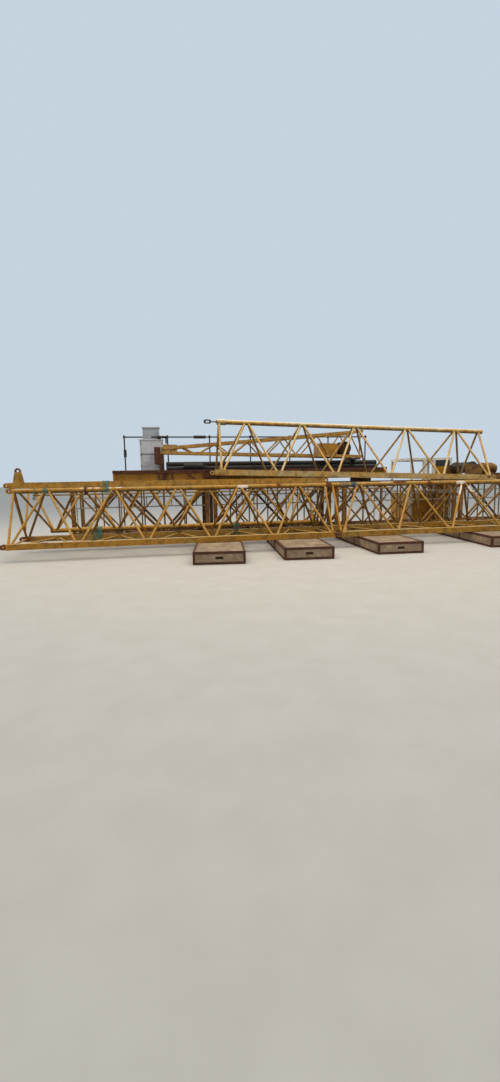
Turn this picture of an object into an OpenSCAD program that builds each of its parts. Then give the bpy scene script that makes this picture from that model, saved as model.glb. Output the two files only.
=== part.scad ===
// Tower crane taken down and stacked: jib sections, ballast blocks, mast sections
// and counter jib. Millimetres, X along the jib sections, Z up from the ground.

/* [Jib section] */
// distance between two bracing nodes of a jib section
bay = 1200; // [1100:10:1300]
// bays in one jib section
bays = 5; // [4:1:6]
// distance between the axes of the two box chords
gauge = 1100; // [1000:10:1200]
// height of a front section, underside of the box chords to top of the round chord
section_h = 1055; // [980:5:1130]
// height of the upper section
upper_h = 1130; // [1000:5:1160]
// side of the square box chords
chord_box = 105; // [95:5:120]
// wall of the box chords
chord_wall = 8; // [6:1:10]
// outside diameter of the round chord
top_d = 95; // [85:5:105]
// wall of the round chord
top_wall = 7; // [5:1:9]
// diameter of the side bracing bars
brace_d = 45; // [38:1:50]
// diameter of the bracing bars between the two box chords
base_brace_d = 38; // [30:1:44]

/* [Jib joints] */
// diameter of the joint pins
pin_d = 40; // [32:2:46]
// distance from a chord end to the pin axis
pin_reach = 55; // [50:1:70]
// thickness of the single eye of a joint
eye_t = 40; // [30:2:50]
// thickness of each ear of a joint fork
ear_t = 20; // [15:1:25]

/* [Stack] */
// left end of the nested section, from the left end of the front one
nested_x = -40; // [-300:10:0]
// left end of the upper section, from the left end of the front one
upper_x = 3830; // [3700:10:4000]
// shift of the nested round chord past the axis of the chord that carries it
nest_shift = 30; // [26:1:40]
// thickness of the timbers under the round chord of the nested section
nest_timber = 50; // [30:1:70]
// thickness of the plank between the nested section's right end and the upper section
packer_t = 20; // [12:1:40]
// thickness of the sleepers under the mast sections
sleeper_t = 130; // [80:5:160]
// thickness of the timbers under the counter jib
counter_timber = 90; // [60:5:120]

/* [Ballast blocks] */
// width of a ballast block
block_w = 865; // [800:5:950]
// length of a ballast block
block_l = 2400; // [2380:10:2480]
// thickness of a ballast block
block_t = 215; // [180:5:280]
// leg of the steel angles round a ballast block
frame_leg = 40; // [30:1:60]
// thickness of the steel angles round a ballast block
frame_t = 6; // [4:1:10]

/* [Mast sections] */
// width of a mast section
mast_w = 1150; // [1050:10:1180]
// length of a mast section
mast_l = 2950; // [2800:10:3000]
// side of the square mast legs
leg_box = 100; // [80:5:120]
// wall of the mast legs
leg_wall = 10; // [6:1:14]
// diameter of the mast bracing bars
mast_brace_d = 58; // [45:1:65]

/* [Counter jib] */
// length of the counter jib
counter_l = 6300; // [5500:50:6600]
// left end of the counter jib, from the left end of the front jib
counter_x = 1650; // [1400:10:1800]
// height of the counter jib beams
beam_h = 200; // [160:5:220]
// height of the guard rail above the deck
rail_h = 815; // [600:5:1000]
// width of the control cabinet
cabinet_w = 520; // [440:10:540]
// height of the control cabinet
cabinet_h = 740; // [500:10:800]

/* [Tower head] */
// length of the tower head
head_l = 4650; // [4300:10:4900]
// height of the tower head at its narrow end
head_tip = 150; // [140:5:300]
// height of the tower head at its wide end
head_foot = 640; // [560:10:850]

/* [Cab and winch] */
// width of the cab
cab_w = 1200; // [1100:10:1300]
// depth of the cab
cab_d = 1150; // [1000:10:1300]
// height of the cab
cab_h = 1845; // [1700:5:2000]
// diameter of the rope drum of the winch
drum_d = 300; // [240:10:360]
// length of the rope drum of the winch
drum_l = 620; // [500:10:700]

/* [Hidden] */
seat = 0.3;
collar_l = 190;
collar_t = 13;
fork_play = 1.5;
slim = 0.7;
zig = 30;
slack = 1;
end_plate = 16;
section_l = bay * bays;
section_pitch = section_l + 2 * pin_reach;
box_axis = chord_box / 2;
top_aim = 14;
lug_r = pin_reach - 8;
bore_r = pin_d / 2 + seat;
post_in = 30;
collar_out = 15;
front_z = block_t + seat;
nested_y = gauge + nest_shift;
nested_h = section_h - nest_timber - seat;
rest_z = front_z + section_h;
stack_z = rest_z + seat + chord_box;
upper_end = upper_x + section_l;
packer_x = nested_x + section_l - 150;
packer_w = 110;
upper_tilt = atan((chord_box + packer_t + seat) / (upper_end - packer_x - packer_w));
mast_h = rest_z - sleeper_t - seat;
mast_y = nested_y + gauge / 2 + 8;
mast_z = sleeper_t + seat;
sleeper_out = 80;
mast_gap = 80;
mast_x = 760;
masts = 4;
timber_z = rest_z + seat;
beam_z = timber_z + counter_timber + seat;
beam_flange = 100;
beam_web = 9;
beam_plate = 11;
deck_t = 12;
deck_z = beam_z + beam_h + seat;
deck_top = deck_z + deck_t;
counter_w = 1010;
counter_y = mast_y + 110;
pipe_d = 110;
pipe_top = deck_top + seat + pipe_d + pipe_d * cos(30);
head_x = counter_x + 1030;
pipe_x = head_x + 110;
head_w_tip = 280;
head_w_foot = 640;
head_y = counter_y + 350;
head_packer_t = 45;
head_z = pipe_top + head_packer_t + 2 * seat;
head_chord = 60;
head_brace = 34;
stand_rise = 125;
head_tilt = asin(stand_rise / (head_l - 60));
cab_x = 9215;
cab_post = 60;
cab_sill = 900;
cab_bar = 75;
resistor_w = min(370, cabinet_w - 80);
winch_x = mast_x + 3 * (mast_l + mast_gap) - 250;
winch_y = mast_y + 70;
winch_l = 1750;
winch_w = drum_l + 240;
drum_axis = 100 + drum_d / 2 + 40;
// left front corner, how far the left side passes the axis of the rear chord, turn about Z
blocks = [[3159, 169, -6.5], [4702, 207, -4.9], [6449, 327, -2.1], [8843, 491, -6.5]];
function block_y(b) = gauge + b[1] - block_l * cos(b[2]);
block_front = min([for (b = blocks) block_y(b) + min(0, block_w * sin(b[2]))]);
x_low = nested_x - pin_reach - lug_r;
x_high = max(section_pitch + section_l + pin_reach + lug_r, mast_x + masts * mast_l + (masts - 1) * mast_gap);
cab_y = mast_y + mast_w + sleeper_out + seat;
y_high = cab_y + cab_d;

yellow = [0.72, 0.52, 0.12];
rusty = [0.36, 0.2, 0.13];
grey = [0.6, 0.58, 0.54];

// straight bar from p to q, of few sides
module bar(p, q, d, sides = 8) {
    v = q - p;
    l = norm(v);
    translate(p)
        rotate([0, acos(v[2] / l), atan2(v[1], v[0])])
            cylinder(h = l, d = d, $fn = sides);
}

// bar of square section with its flats upright
module strut(p, q, side) {
    v = q - p;
    l = norm(v);
    translate(p)
        rotate([0, acos(v[2] / l), atan2(v[1], v[0])])
            rotate(45)
                cylinder(h = l, d = side * sqrt(2), $fn = 4);
}

// solid of square section along X, from x0 to x1, centred on y and z
module box_x(x0, x1, y, z, side)
    translate([x0, y - side / 2, z - side / 2])
        cube([x1 - x0, side, side]);

// round solid along X, from x0 to x1
module round_x(x0, x1, y, z, d)
    translate([x0, y, z])
        rotate([0, 90, 0])
            cylinder(h = x1 - x0, d = d);

// plate in the XZ plane with a rounded end and a bore at its origin; dir is the side that carries it
module lug(t, reach, dir)
    rotate([90, 0, 0])
        linear_extrude(t, center = true)
            difference() {
                union() {
                    circle(r = lug_r);
                    translate([dir > 0 ? 0 : -reach, -lug_r])
                        square([reach, 2 * lug_r]);
                }
                circle(r = bore_r);
            }

// two ears of a fork with its pin axis at the origin; k is its share of the full thickness
module fork(dir, k = 1)
    for (s = [-1, 1])
        translate([0, s * (k * (eye_t + ear_t) / 2 + fork_play), 0])
            lug(k * ear_t, pin_reach + slack, dir);

// square box chord with a fork at its left end and an eye at its right end
module box_chord(y) {
    difference() {
        box_x(0, section_l, y, box_axis, chord_box);
        box_x(chord_wall, section_l - chord_wall, y, box_axis, chord_box - 2 * chord_wall);
    }
    translate([-pin_reach, y, box_axis])
        fork(1);
    translate([section_l + pin_reach, y, box_axis])
        lug(eye_t, pin_reach + slack, -1);
}

// height of the round chord's axis in a section of height h
function top_axis(h) = h - top_d / 2;

// round chord: tube with a fork at the left, an eye or an open end at the right; the collared one
// has a collar round a closed left end instead of the fork
module round_chord(h, start = 0, forked = true, eyed = true, collared = false) {
    difference() {
        union() {
            round_x(start, section_l, gauge / 2, top_axis(h), top_d);
            if (collared)
                round_x(start, start + collar_l, gauge / 2, top_axis(h), top_d + 2 * collar_t);
        }
        round_x(start + (forked || collared ? end_plate : -slack), section_l + (eyed ? -end_plate : slack),
            gauge / 2, top_axis(h), top_d - 2 * top_wall);
    }
    if (forked)
        translate([start - pin_reach, gauge / 2, top_axis(h)])
            fork(1, slim);
    if (eyed)
        translate([section_l + pin_reach, gauge / 2, top_axis(h)])
            lug(slim * eye_t, pin_reach + slack, -1);
}

// room that the chords of a section take, a seat gap wider all round
module chord_room(h, collared = false) {
    for (y = [0, gauge])
        box_x(-slack, section_l + slack, y, box_axis, chord_box + 2 * seat);
    round_x(-slack, section_l + slack, gauge / 2, top_axis(h), top_d + 2 * seat);
    if (collared)
        round_x(-collar_out - slack, collar_l - collar_out + seat, gauge / 2, top_axis(h),
            top_d + 2 * (collar_t + seat));
}

// point on the axis of the front box chord, and one on the round chord
function foot(x) = [x, 0, box_axis];
function head(x, h) = [x, gauge / 2 - top_aim, top_axis(h)];

// bracing bars of the front side of a section, each cut to the chords that it meets
module side_lacing(h, collared = false)
    difference() {
        union() {
            for (k = [0:bays - 1]) {
                mid = (k + 0.5) * bay;
                bar(foot(k == 0 ? 2 * post_in : k * bay + zig), head(mid - zig, h), brace_d);
                bar(foot(k == bays - 1 ? section_l - 2 * post_in : (k + 1) * bay - zig),
                    head(mid + zig, h), brace_d);
            }
            for (x = [post_in, section_l - post_in])
                bar(foot(x), head(x, h), brace_d);
        }
        chord_room(h, collared);
    }

// bracing between the two box chords
module base_lacing()
    difference() {
        union() {
            for (k = [0:bays - 1]) {
                bar([k * bay + 2 * post_in + 50, 0, box_axis], [(k + 0.5) * bay - zig, gauge, box_axis],
                    base_brace_d);
                bar([(k + 0.5) * bay + zig, gauge, box_axis],
                    [(k + 1) * bay - 2 * post_in - 50, 0, box_axis], base_brace_d);
            }
            for (x = [post_in, section_l - post_in])
                bar([x, 0, box_axis], [x, gauge, box_axis], base_brace_d);
        }
        chord_room(section_h);
    }

module rear_side()
    translate([0, gauge, 0])
        mirror([0, 1, 0])
            children();

// the two front sections, end to end
module front_run()
    for (k = [0, 1])
        translate([k * section_pitch, 0, front_z])
            children();

// the nested section, turned over between the front ones and the mast sections
module nested_place()
    translate([nested_x, nested_y + gauge / 2, stack_z])
        rotate([180, 0, 0])
            children();

// the upper section, right end on the front run and left half on the nested section's plank
module upper_place()
    translate([upper_end, nested_y - gauge / 2, rest_z + seat])
        rotate([0, upper_tilt, 0])
            translate([-section_l, 0, 0])
                children();

module front_jib_top_chord() color(yellow)
    front_run()
        round_chord(section_h);

module front_jib_front_chord() color(yellow)
    front_run()
        box_chord(0);

module front_jib_rear_chord() color(yellow)
    front_run()
        box_chord(gauge);

module front_jib_front_lacing() color(yellow)
    front_run()
        side_lacing(section_h);

module front_jib_rear_lacing() color(yellow)
    front_run()
        rear_side()
            side_lacing(section_h);

module front_jib_base_lacing() color(yellow)
    front_run()
        base_lacing();

module nested_jib_round_chord() color(yellow)
    nested_place()
        round_chord(nested_h, start = bay / 2 - 80, forked = false);

// lifting lug welded on the box chord of the nested section, near its left end
module lifting_lug() {
    foot_w = 200;
    top_w = 110;
    rise = 265;
    translate([60, gauge, 0])
        rotate([90, 0, 0])
            linear_extrude(24, center = true)
                difference() {
                    union() {
                        polygon([[0, 1], [foot_w, 1], [(foot_w + top_w) / 2, top_w / 2 - rise],
                            [(foot_w - top_w) / 2, top_w / 2 - rise]]);
                        translate([foot_w / 2, top_w / 2 - rise])
                            circle(d = top_w);
                    }
                    translate([foot_w / 2, top_w / 2 - rise])
                        circle(d = 46);
                }
}

module nested_jib_front_chord() color(yellow)
    nested_place() {
        box_chord(gauge);
        lifting_lug();
    }

module nested_jib_rear_chord() color(yellow)
    nested_place()
        box_chord(0);

module nested_jib_front_lacing() color(yellow)
    nested_place()
        rear_side()
            side_lacing(nested_h);

module nested_jib_rear_lacing() color(yellow)
    nested_place()
        side_lacing(nested_h);

module nested_jib_base_lacing() color(yellow)
    nested_place()
        base_lacing();

module upper_jib_top_chord() color(yellow)
    upper_place()
        round_chord(upper_h, start = -collar_out, forked = false, eyed = false, collared = true);

module upper_jib_front_chord() color(yellow)
    upper_place()
        box_chord(0);

module upper_jib_rear_chord() color(yellow)
    upper_place()
        box_chord(gauge);

module upper_jib_front_lacing() color(yellow)
    upper_place()
        side_lacing(upper_h, collared = true);

module upper_jib_rear_lacing() color(yellow)
    upper_place()
        rear_side()
            side_lacing(upper_h, collared = true);

module upper_jib_base_lacing() color(yellow)
    upper_place()
        base_lacing();

// pin of a joint: shank with a head, along Y through its origin
module pin(k = 1) {
    half = k * (eye_t / 2 + ear_t) + fork_play;
    head_t = 7;
    translate([0, half + head_t, 0])
        rotate([90, 0, 0])
            cylinder(h = 2 * half + head_t + 5, d = pin_d);
    translate([0, half + head_t, 0])
        rotate([90, 0, 0])
            cylinder(h = head_t - seat, d = pin_d + 18);
}

module joint_pins() color(rusty) {
    for (y = [0, gauge])
        translate([section_l + pin_reach, y, front_z + box_axis])
            pin();
    translate([section_l + pin_reach, gauge / 2, front_z + top_axis(section_h)])
        pin(slim);
}

// pendant rod left on the upper section's closed tube end: nut, rod and slotted end link
module pendant_link() color([0.12, 0.12, 0.12]) {
    rod_l = 118;
    link_l = 152;
    link_h = 82;
    upper_place()
        translate([-collar_out - seat, gauge / 2, top_axis(upper_h)])
            rotate([0, -90, 0]) {
                cylinder(h = 22, d = 54, $fn = 6);
                cylinder(h = rod_l + 10, d = 22);
                translate([0, 0, rod_l + link_l / 2])
                    rotate([90, 0, 0])
                        linear_extrude(36, center = true)
                            difference() {
                                union() {
                                    for (k = [-1, 1])
                                        translate([0, k * (link_l - link_h) / 2])
                                            circle(d = link_h);
                                    square([link_h, link_l - link_h], center = true);
                                }
                                square([link_h - 44, link_l - link_h], center = true);
                            }
            }
}

// tie bar hung under the round chord of the first front section
module tie_bar() color(yellow) {
    bar_d = 26;
    drop = 24;
    z = front_z + section_h - top_d - drop - bar_d / 2;
    for (part = [[350, section_l - 60, [420, bay, 3 * bay, section_l - 140]],
            [section_pitch + 150, section_pitch + bay + 150, [section_pitch + 220, section_pitch + bay]]]) {
        round_x(part[0], part[1], gauge / 2, z, bar_d);
        for (x = part[2])
            translate([x - 20, gauge / 2 - 8, z])
                cube([40, 16, drop + bar_d / 2 - seat]);
    }
}

module block_place()
    for (b = blocks)
        translate([b[0], block_y(b), 0])
            rotate(b[2])
                children();

module ballast_concrete() color(grey)
    block_place() {
        skin = frame_t + seat;
        pocket = [130, 60, 46];
        difference() {
            translate([skin, skin, skin])
                cube([block_w - 2 * skin, block_l - 2 * skin, block_t - 2 * skin]);
            translate([(block_w - pocket[0]) / 2, 0, (block_t - pocket[2]) / 2])
                cube(pocket);
        }
    }

module ballast_frames() color(rusty)
    block_place()
        difference() {
            cube([block_w, block_l, block_t]);
            translate([frame_t, frame_t, frame_t])
                cube([block_w - 2 * frame_t, block_l - 2 * frame_t, block_t - 2 * frame_t]);
            for (y = [frame_leg, (block_l + frame_leg) / 2])
                translate([-slack, y, frame_leg])
                    cube([block_w + 2 * slack, (block_l - 3 * frame_leg) / 2, block_t - 2 * frame_leg]);
            translate([frame_leg, -slack, frame_leg])
                cube([block_w - 2 * frame_leg, block_l + 2 * slack, block_t - 2 * frame_leg]);
            translate([frame_leg, frame_leg, -slack])
                cube([block_w - 2 * frame_leg, block_l - 2 * frame_leg, block_t + 2 * slack]);
        }

module timbers() color([0.3, 0.22, 0.16]) {
    for (k = [0:masts - 1], e = [0.16, 0.84])
        translate([mast_x + k * (mast_l + mast_gap) + e * mast_l - 90, mast_y - 60, 0])
            cube([180, mast_w + 60 + sleeper_out, sleeper_t]);
    for (k = [1:bays - 2])
        translate([(k + 0.5) * bay - 60, nested_y - 90, front_z + chord_box + seat])
            cube([120, 180, nest_timber - seat]);
    translate([packer_x, nested_y - gauge / 2 - 70, stack_z + seat / 2])
        cube([packer_w, gauge + 140, packer_t]);
    for (e = [0.07, 0.5, 0.93])
        translate([counter_x + e * counter_l - 50, counter_y - 10, timber_z])
            cube([100, counter_w + 20, counter_timber]);
    translate([head_x + head_l - 160, head_y - head_w_foot / 2 - 60, pipe_top + seat])
        cube([110, head_w_foot + 120, head_packer_t]);
}

module mast_place()
    for (k = [0:masts - 1])
        translate([mast_x + k * (mast_l + mast_gap), mast_y, mast_z])
            children();

// one flat side of a mast section: two legs, posts and diagonals in one piece
module mast_flat() {
    low = leg_box / 2;
    high = mast_h - leg_box / 2;
    bays_m = 3;
    step = (mast_l - leg_box) / bays_m;
    difference() {
        union() {
            for (z = [low, high])
                box_x(0, mast_l, leg_box / 2, z, leg_box);
            for (x = [leg_box / 2, mast_l - leg_box / 2])
                translate([x - 40, leg_box / 2 - 40, low])
                    cube([80, 80, high - low]);
            for (k = [0:bays_m - 1]) {
                x = leg_box / 2 + k * step;
                up = k % 2 == 0;
                bar([x, leg_box / 2, up ? low : high], [x + step, leg_box / 2, up ? high : low],
                    mast_brace_d);
            }
        }
        for (z = [low, high])
            box_x(-slack, mast_l + slack, leg_box / 2, z, leg_box - 2 * leg_wall);
    }
}

module mast_front_side() color([0.5, 0.32, 0.14])
    mast_place()
        mast_flat();

module mast_rear_side() color([0.5, 0.32, 0.14])
    mast_place()
        translate([0, mast_w, 0])
            mirror([0, 1, 0])
                mast_flat();

// posts and diagonals between the legs of the two flat sides, at height z
module mast_lacing(z) {
    step = (mast_l - leg_box) / 3;
    y0 = leg_box + seat;
    y1 = mast_w - leg_box - seat;
    difference() {
        union() {
            for (k = [0:3])
                bar([leg_box / 2 + k * step, 0, z], [leg_box / 2 + k * step, mast_w, z],
                    mast_brace_d);
            for (k = [0:2]) {
                x = leg_box / 2 + k * step;
                even = k % 2 == 0;
                bar([x, even ? 0 : mast_w, z], [x + step, even ? mast_w : 0, z],
                    mast_brace_d);
            }
        }
        translate([-mast_l, y0 - mast_w, -mast_h])
            cube([3 * mast_l, mast_w, 3 * mast_h]);
        translate([-mast_l, y1, -mast_h])
            cube([3 * mast_l, mast_w, 3 * mast_h]);
    }
}

module mast_cross_lacing() color([0.5, 0.32, 0.14])
    mast_place()
        for (z = [leg_box / 2, mast_h - leg_box / 2])
            mast_lacing(z);

// I section of a counter jib beam, in the YZ plane
module beam_shape() {
    translate([-beam_flange / 2, 0])
        square([beam_flange, beam_plate]);
    translate([-beam_flange / 2, beam_h - beam_plate])
        square([beam_flange, beam_plate]);
    translate([-beam_web / 2, 0])
        square([beam_web, beam_h]);
}

// channel cross member of the counter jib, open to the right, in the XZ plane
module channel_shape() {
    h = beam_h - 2 * beam_plate - 2 * seat;
    difference() {
        square([60, h]);
        translate([8, 9])
            square([60, h - 18]);
    }
}

module counter_jib_beams() color(yellow)
    translate([counter_x, counter_y, beam_z]) {
        for (y = [beam_flange / 2, counter_w - beam_flange / 2])
            translate([0, y, 0])
                rotate([90, 0, 90])
                    linear_extrude(counter_l)
                        beam_shape();
        for (k = [0:6])
            translate([20 + k * (counter_l - 120) / 6, counter_w - beam_flange / 2, beam_plate + seat])
                rotate([90, 0, 0])
                    linear_extrude(counter_w - beam_flange)
                        channel_shape();
        for (k = [0:12], side = [0, 1])
            translate([46 + k * (counter_l - 120) / 12, side * (counter_w - beam_flange / 2 + beam_web / 2),
                beam_plate - 1])
                cube([10, (beam_flange - beam_web) / 2, beam_h - 2 * beam_plate + 2]);
    }

// deck plate with a raised toe edge along both sides
module counter_jib_deck() color(rusty)
    translate([counter_x, counter_y - 30, deck_z])
        difference() {
            cube([counter_l, counter_w + 60, deck_t + 22]);
            translate([-slack, 8, deck_t])
                cube([counter_l + 2 * slack, counter_w + 44, deck_t + 22]);
        }

// brackets on the near face of the front beam: a plate, four slanting legs and a round plate
// whose boss reaches the web
module beam_brackets() color(rusty) {
    t = 24;
    low = beam_z + 5;
    high = deck_z - 6;
    translate([counter_x + 1055, counter_y - t - seat, low])
        cube([95, t, high - low]);
    for (leg = [[960, 1000, 26], [1222, 1296, 26], [1545, 1780, 30], [2228, 2268, 26]])
        translate([counter_x, counter_y - leg[2] / 2 - seat, 0])
            strut([leg[0], 0, high - 8], [leg[1], 0, low + 8], leg[2]);
    translate([counter_x + 2045, counter_y, beam_z + 115])
        rotate([90, 0, 0]) {
            translate([0, 0, -(beam_flange - beam_web) / 2 + seat])
                cylinder(h = (beam_flange - beam_web) / 2 + 34, d = 60);
            translate([0, 0, 34])
                difference() {
                    cylinder(h = 28, d = 240);
                    for (k = [0:5])
                        rotate(k * 60)
                            translate([76, 0, -slack])
                                cylinder(h = 28 + 2 * slack, d = 44);
                }
        }
}

// guard rail of the rear edge of the counter jib deck: posts on foot plates, one rail, clamps,
// and thicker sleeves on the rail
module guard_rail() color([0.12, 0.11, 0.1]) {
    y = counter_y + counter_w - 10;
    rail_d = 32;
    pitch = 1000;
    rail_x = counter_x + 196;
    posts = floor((counter_l - 250) / pitch);
    rail_z = deck_top + rail_h;
    for (k = [0:posts]) {
        translate([rail_x + k * pitch, y, deck_top + seat])
            cylinder(h = rail_h + 40, d = rail_d, $fn = 12);
        translate([rail_x + k * pitch - 50, y - 26, deck_top + seat])
            cube([100, 52, 8]);
        translate([rail_x + k * pitch - 25, y - 24, rail_z - 24])
            cube([50, 48, 48]);
    }
    bar([rail_x, y, rail_z], [rail_x + posts * pitch, y, rail_z], rail_d, 12);
    for (sleeve = [[919, 1200, 58], [1815, 2105, 74]])
        round_x(counter_x + sleeve[0], counter_x + sleeve[1], y, rail_z, sleeve[2]);
    translate([counter_x + 1140, y - 18, rail_z - 150])
        cube([36, 36, 150]);
    translate([rail_x - 24, y - 24, deck_top + 350])
        cube([62, 48, 170]);
}

// sheet steel box of size v: thin walls, rain lip round the roof, door leaves set off by grooves
module sheet_box(v, leaves) {
    wall = 3;
    lip = 14;
    groove = 5;
    difference() {
        union() {
            cube(v);
            translate([-lip, -lip, v[2] - 26])
                cube([v[0] + 2 * lip, v[1] + 2 * lip, 26]);
        }
        translate([wall + groove, wall + groove, wall])
            cube([v[0] - 2 * (wall + groove), v[1] - 2 * (wall + groove), v[2] - 2 * wall]);
        for (k = [0:leaves - 1]) {
            w = (v[0] - 40) / leaves;
            translate([20 + k * w, 0, 0])
                difference() {
                    translate([0, -slack, 24])
                        cube([w, groove - 1 + slack, v[2] - 74]);
                    translate([groove, -2 * slack, 24 + groove])
                        cube([w - 2 * groove, groove + 3 * slack, v[2] - 74 - 2 * groove]);
                }
        }
    }
    for (k = [0:leaves - 1]) {
        w = (v[0] - 40) / leaves;
        translate([20 + k * w + (k == 0 ? w - 44 : 30), -22, v[2] / 2 - 60]) {
            cube([12, 24, 12]);
            translate([0, 0, 78])
                cube([12, 24, 12]);
            cube([12, 8, 90]);
        }
    }
}

module control_cabinet() color([0.75, 0.75, 0.73])
    translate([counter_x + 565, counter_y + 640, deck_top + seat])
        sheet_box([cabinet_w, 310, cabinet_h], 2);

module resistor_box() color([0.75, 0.75, 0.73])
    translate([counter_x + 565 + (cabinet_w - resistor_w) / 2, counter_y + 665,
        deck_top + cabinet_h + 2 * seat])
        sheet_box([resistor_w, 260, 270], 1);

// motor with its gear lying on the deck in front of the pipes: ribbed housing, gear case with a
// bolt flange, shaft end and two feet
module deck_motor() color([0.1, 0.11, 0.12]) {
    d = 170;
    translate([counter_x + 1520, counter_y + 105, deck_top + seat + 14]) {
        translate([0, 0, d / 2])
            rotate([0, 90, 0]) {
                cylinder(h = 300, d = d - 16);
                for (k = [0:9])
                    translate([0, 0, 22 + k * 26])
                        cylinder(h = 9, d = d);
                translate([0, 0, 300])
                    cylinder(h = 130, d = 150);
                translate([0, 0, 412])
                    cylinder(h = 18, d = d + 10);
                translate([0, 0, 430])
                    cylinder(h = 70, d = 44);
            }
        for (x = [60, 230])
            translate([x, -80, -14])
                cube([34, 160, 40]);
    }
}

// dark pipes stored in two layers on the deck
module stored_pipes() color([0.1, 0.11, 0.12]) {
    step = pipe_d + seat;
    low = deck_top + seat + pipe_d / 2;
    mid = counter_y + counter_w / 2 - 60;
    pipe_l = counter_l + counter_x - pipe_x - 120;
    for (row = [0, 1], k = [0:3 - row])
        translate([pipe_x, mid + (k - 1.5 + row / 2) * step, low + row * step * cos(30)])
            rotate([0, 90, 0])
                difference() {
                    cylinder(h = pipe_l, d = pipe_d);
                    translate([0, 0, -slack])
                        cylinder(h = pipe_l + 2 * slack, d = pipe_d - 12);
                }
}

// half width and height of the tower head at x
function head_half(x) = (head_w_tip + (head_w_foot - head_w_tip) * x / head_l) / 2;
function head_top(x) = head_tip + (head_foot - head_tip) * x / head_l - head_chord;

// one flat side of the tower head: two chords, their bracing and the gusset of the tip
module head_side(s) {
    n = 6;
    step = head_l / n;
    strut([0, s * head_half(0), 0], [head_l, s * head_half(head_l), 0], head_chord);
    strut([0, s * head_half(0), head_top(0)], [head_l, s * head_half(head_l), head_top(head_l)],
        head_chord);
    for (x = [head_chord, head_l - head_chord])
        bar([x, s * head_half(x), 0], [x, s * head_half(x), head_top(x)], head_brace);
    for (k = [0:n - 1]) {
        a = k * step + head_chord;
        m = a + step / 2;
        b = (k + 1) * step - head_chord / 2;
        bar([a, s * head_half(a), 0], [m, s * head_half(m), head_top(m)], head_brace);
        bar([m, s * head_half(m), head_top(m)], [b, s * head_half(b), 0], head_brace);
    }
    difference() {
        translate([50, s * head_half(0) - 6, -head_chord / 2])
            cube([310, 12, head_tip + 60]);
        translate([150, 0, head_tip - 10])
            rotate([90, 0, 0])
                cylinder(h = 2 * head_w_tip, d = 50, center = true);
    }
}

// place of the tower head: its right end on a timber, its tip lifted on a stand
module head_place()
    translate([head_x + head_l, head_y, head_z])
        rotate([0, head_tilt, 0])
            translate([-head_l, 0, head_chord / 2])
                children();

module tower_head_front_side() color(yellow)
    head_place()
        head_side(-1);

module tower_head_rear_side() color(yellow)
    head_place()
        head_side(1);

// bracing across the tower head, z0 and z1 at its two ends
module head_lacing(z0, z1) {
    n = 6;
    step = head_l / n;
    rise = (z1 - z0) / head_l;
    difference() {
        for (k = [0:n]) {
            x = min(max(k * step, head_chord), head_l - head_chord);
            bar([x, -head_half(x), z0 + rise * x], [x, head_half(x), z0 + rise * x], head_brace);
        }
        for (s = [-1, 1])
            strut([0, s * head_half(0), z0], [head_l, s * head_half(head_l), z1],
                head_chord + 2 * seat);
    }
}

module tower_head_cross_lacing() color(yellow)
    head_place() {
        head_lacing(head_top(0), head_top(head_l));
        head_lacing(0, 0);
    }

// steel stand under the tip of the tower head: two posts on a foot plate, cross bar, and an end
// frame that reaches out past the tip
module head_stand() color(rusty) {
    side = 50;
    post_w = 90;
    reach = 135;
    drop = 215;
    foot_z = deck_top + seat;
    top_z = head_z + (head_l - side + 5) * tan(head_tilt) - seat;
    out = head_w_tip / 2 + side;
    translate([head_x, head_y, 0]) {
        translate([-60, -out - 30, foot_z])
            cube([post_w + 70, 2 * out + 60, 10]);
        for (s = [-1, 1]) {
            translate([-20, s * out - side / 2, foot_z])
                cube([post_w, side, top_z - foot_z]);
            translate([-reach, s * out - side / 2, top_z - drop])
                cube([reach - 6, side, head_tip + drop]);
        }
        translate([-5, -out, top_z - side])
            cube([side, 2 * out, side]);
        for (z = [top_z - drop, top_z + head_tip - side])
            translate([-reach, -out, z])
                cube([85, 2 * out, side]);
    }
}

// yellow sheet housing carried between the chords at the wide end of the tower head
module head_housing() color(yellow)
    head_place()
        translate([head_l - 1000, -head_half(head_l - 1000) + head_chord / 2 + seat, head_chord / 2 - 12]) {
            w = 2 * head_half(head_l - 1000) - head_chord - 2 * seat;
            difference() {
                cube([420, w, 270]);
                translate([6, 6, 6])
                    cube([408, w - 12, 270]);
            }
            for (x = [130, 280])
                translate([x, -seat + 0.1, 12])
                    cube([8, w, 250]);
        }

// left edges of the two upright bars in the cab's window frame
function cab_bars() = [cab_w * 0.3, cab_w * 0.53];

// white steel cab standing on the ground behind the mast sections: open window frame and roof
module cab_frame() color([0.8, 0.8, 0.78])
    translate([cab_x, cab_y, 0]) {
        for (x = [0, cab_w - cab_post], y = [0, cab_d - cab_post])
            translate([x, y, 0])
                cube([cab_post, cab_post, cab_h]);
        for (z = [0, cab_sill, cab_h - cab_post]) {
            for (y = [0, cab_d - cab_post])
                translate([0, y, z])
                    cube([cab_w, cab_post, cab_post]);
            for (x = [0, cab_w - cab_post])
                translate([x, 0, z])
                    cube([cab_post, cab_d, cab_post]);
        }
        for (x = cab_bars())
            translate([x, 0, cab_sill])
                cube([cab_bar, cab_post, cab_h - cab_sill]);
        translate([0, 0, cab_h - 4])
            cube([cab_w, cab_d, 4]);
    }

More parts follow.
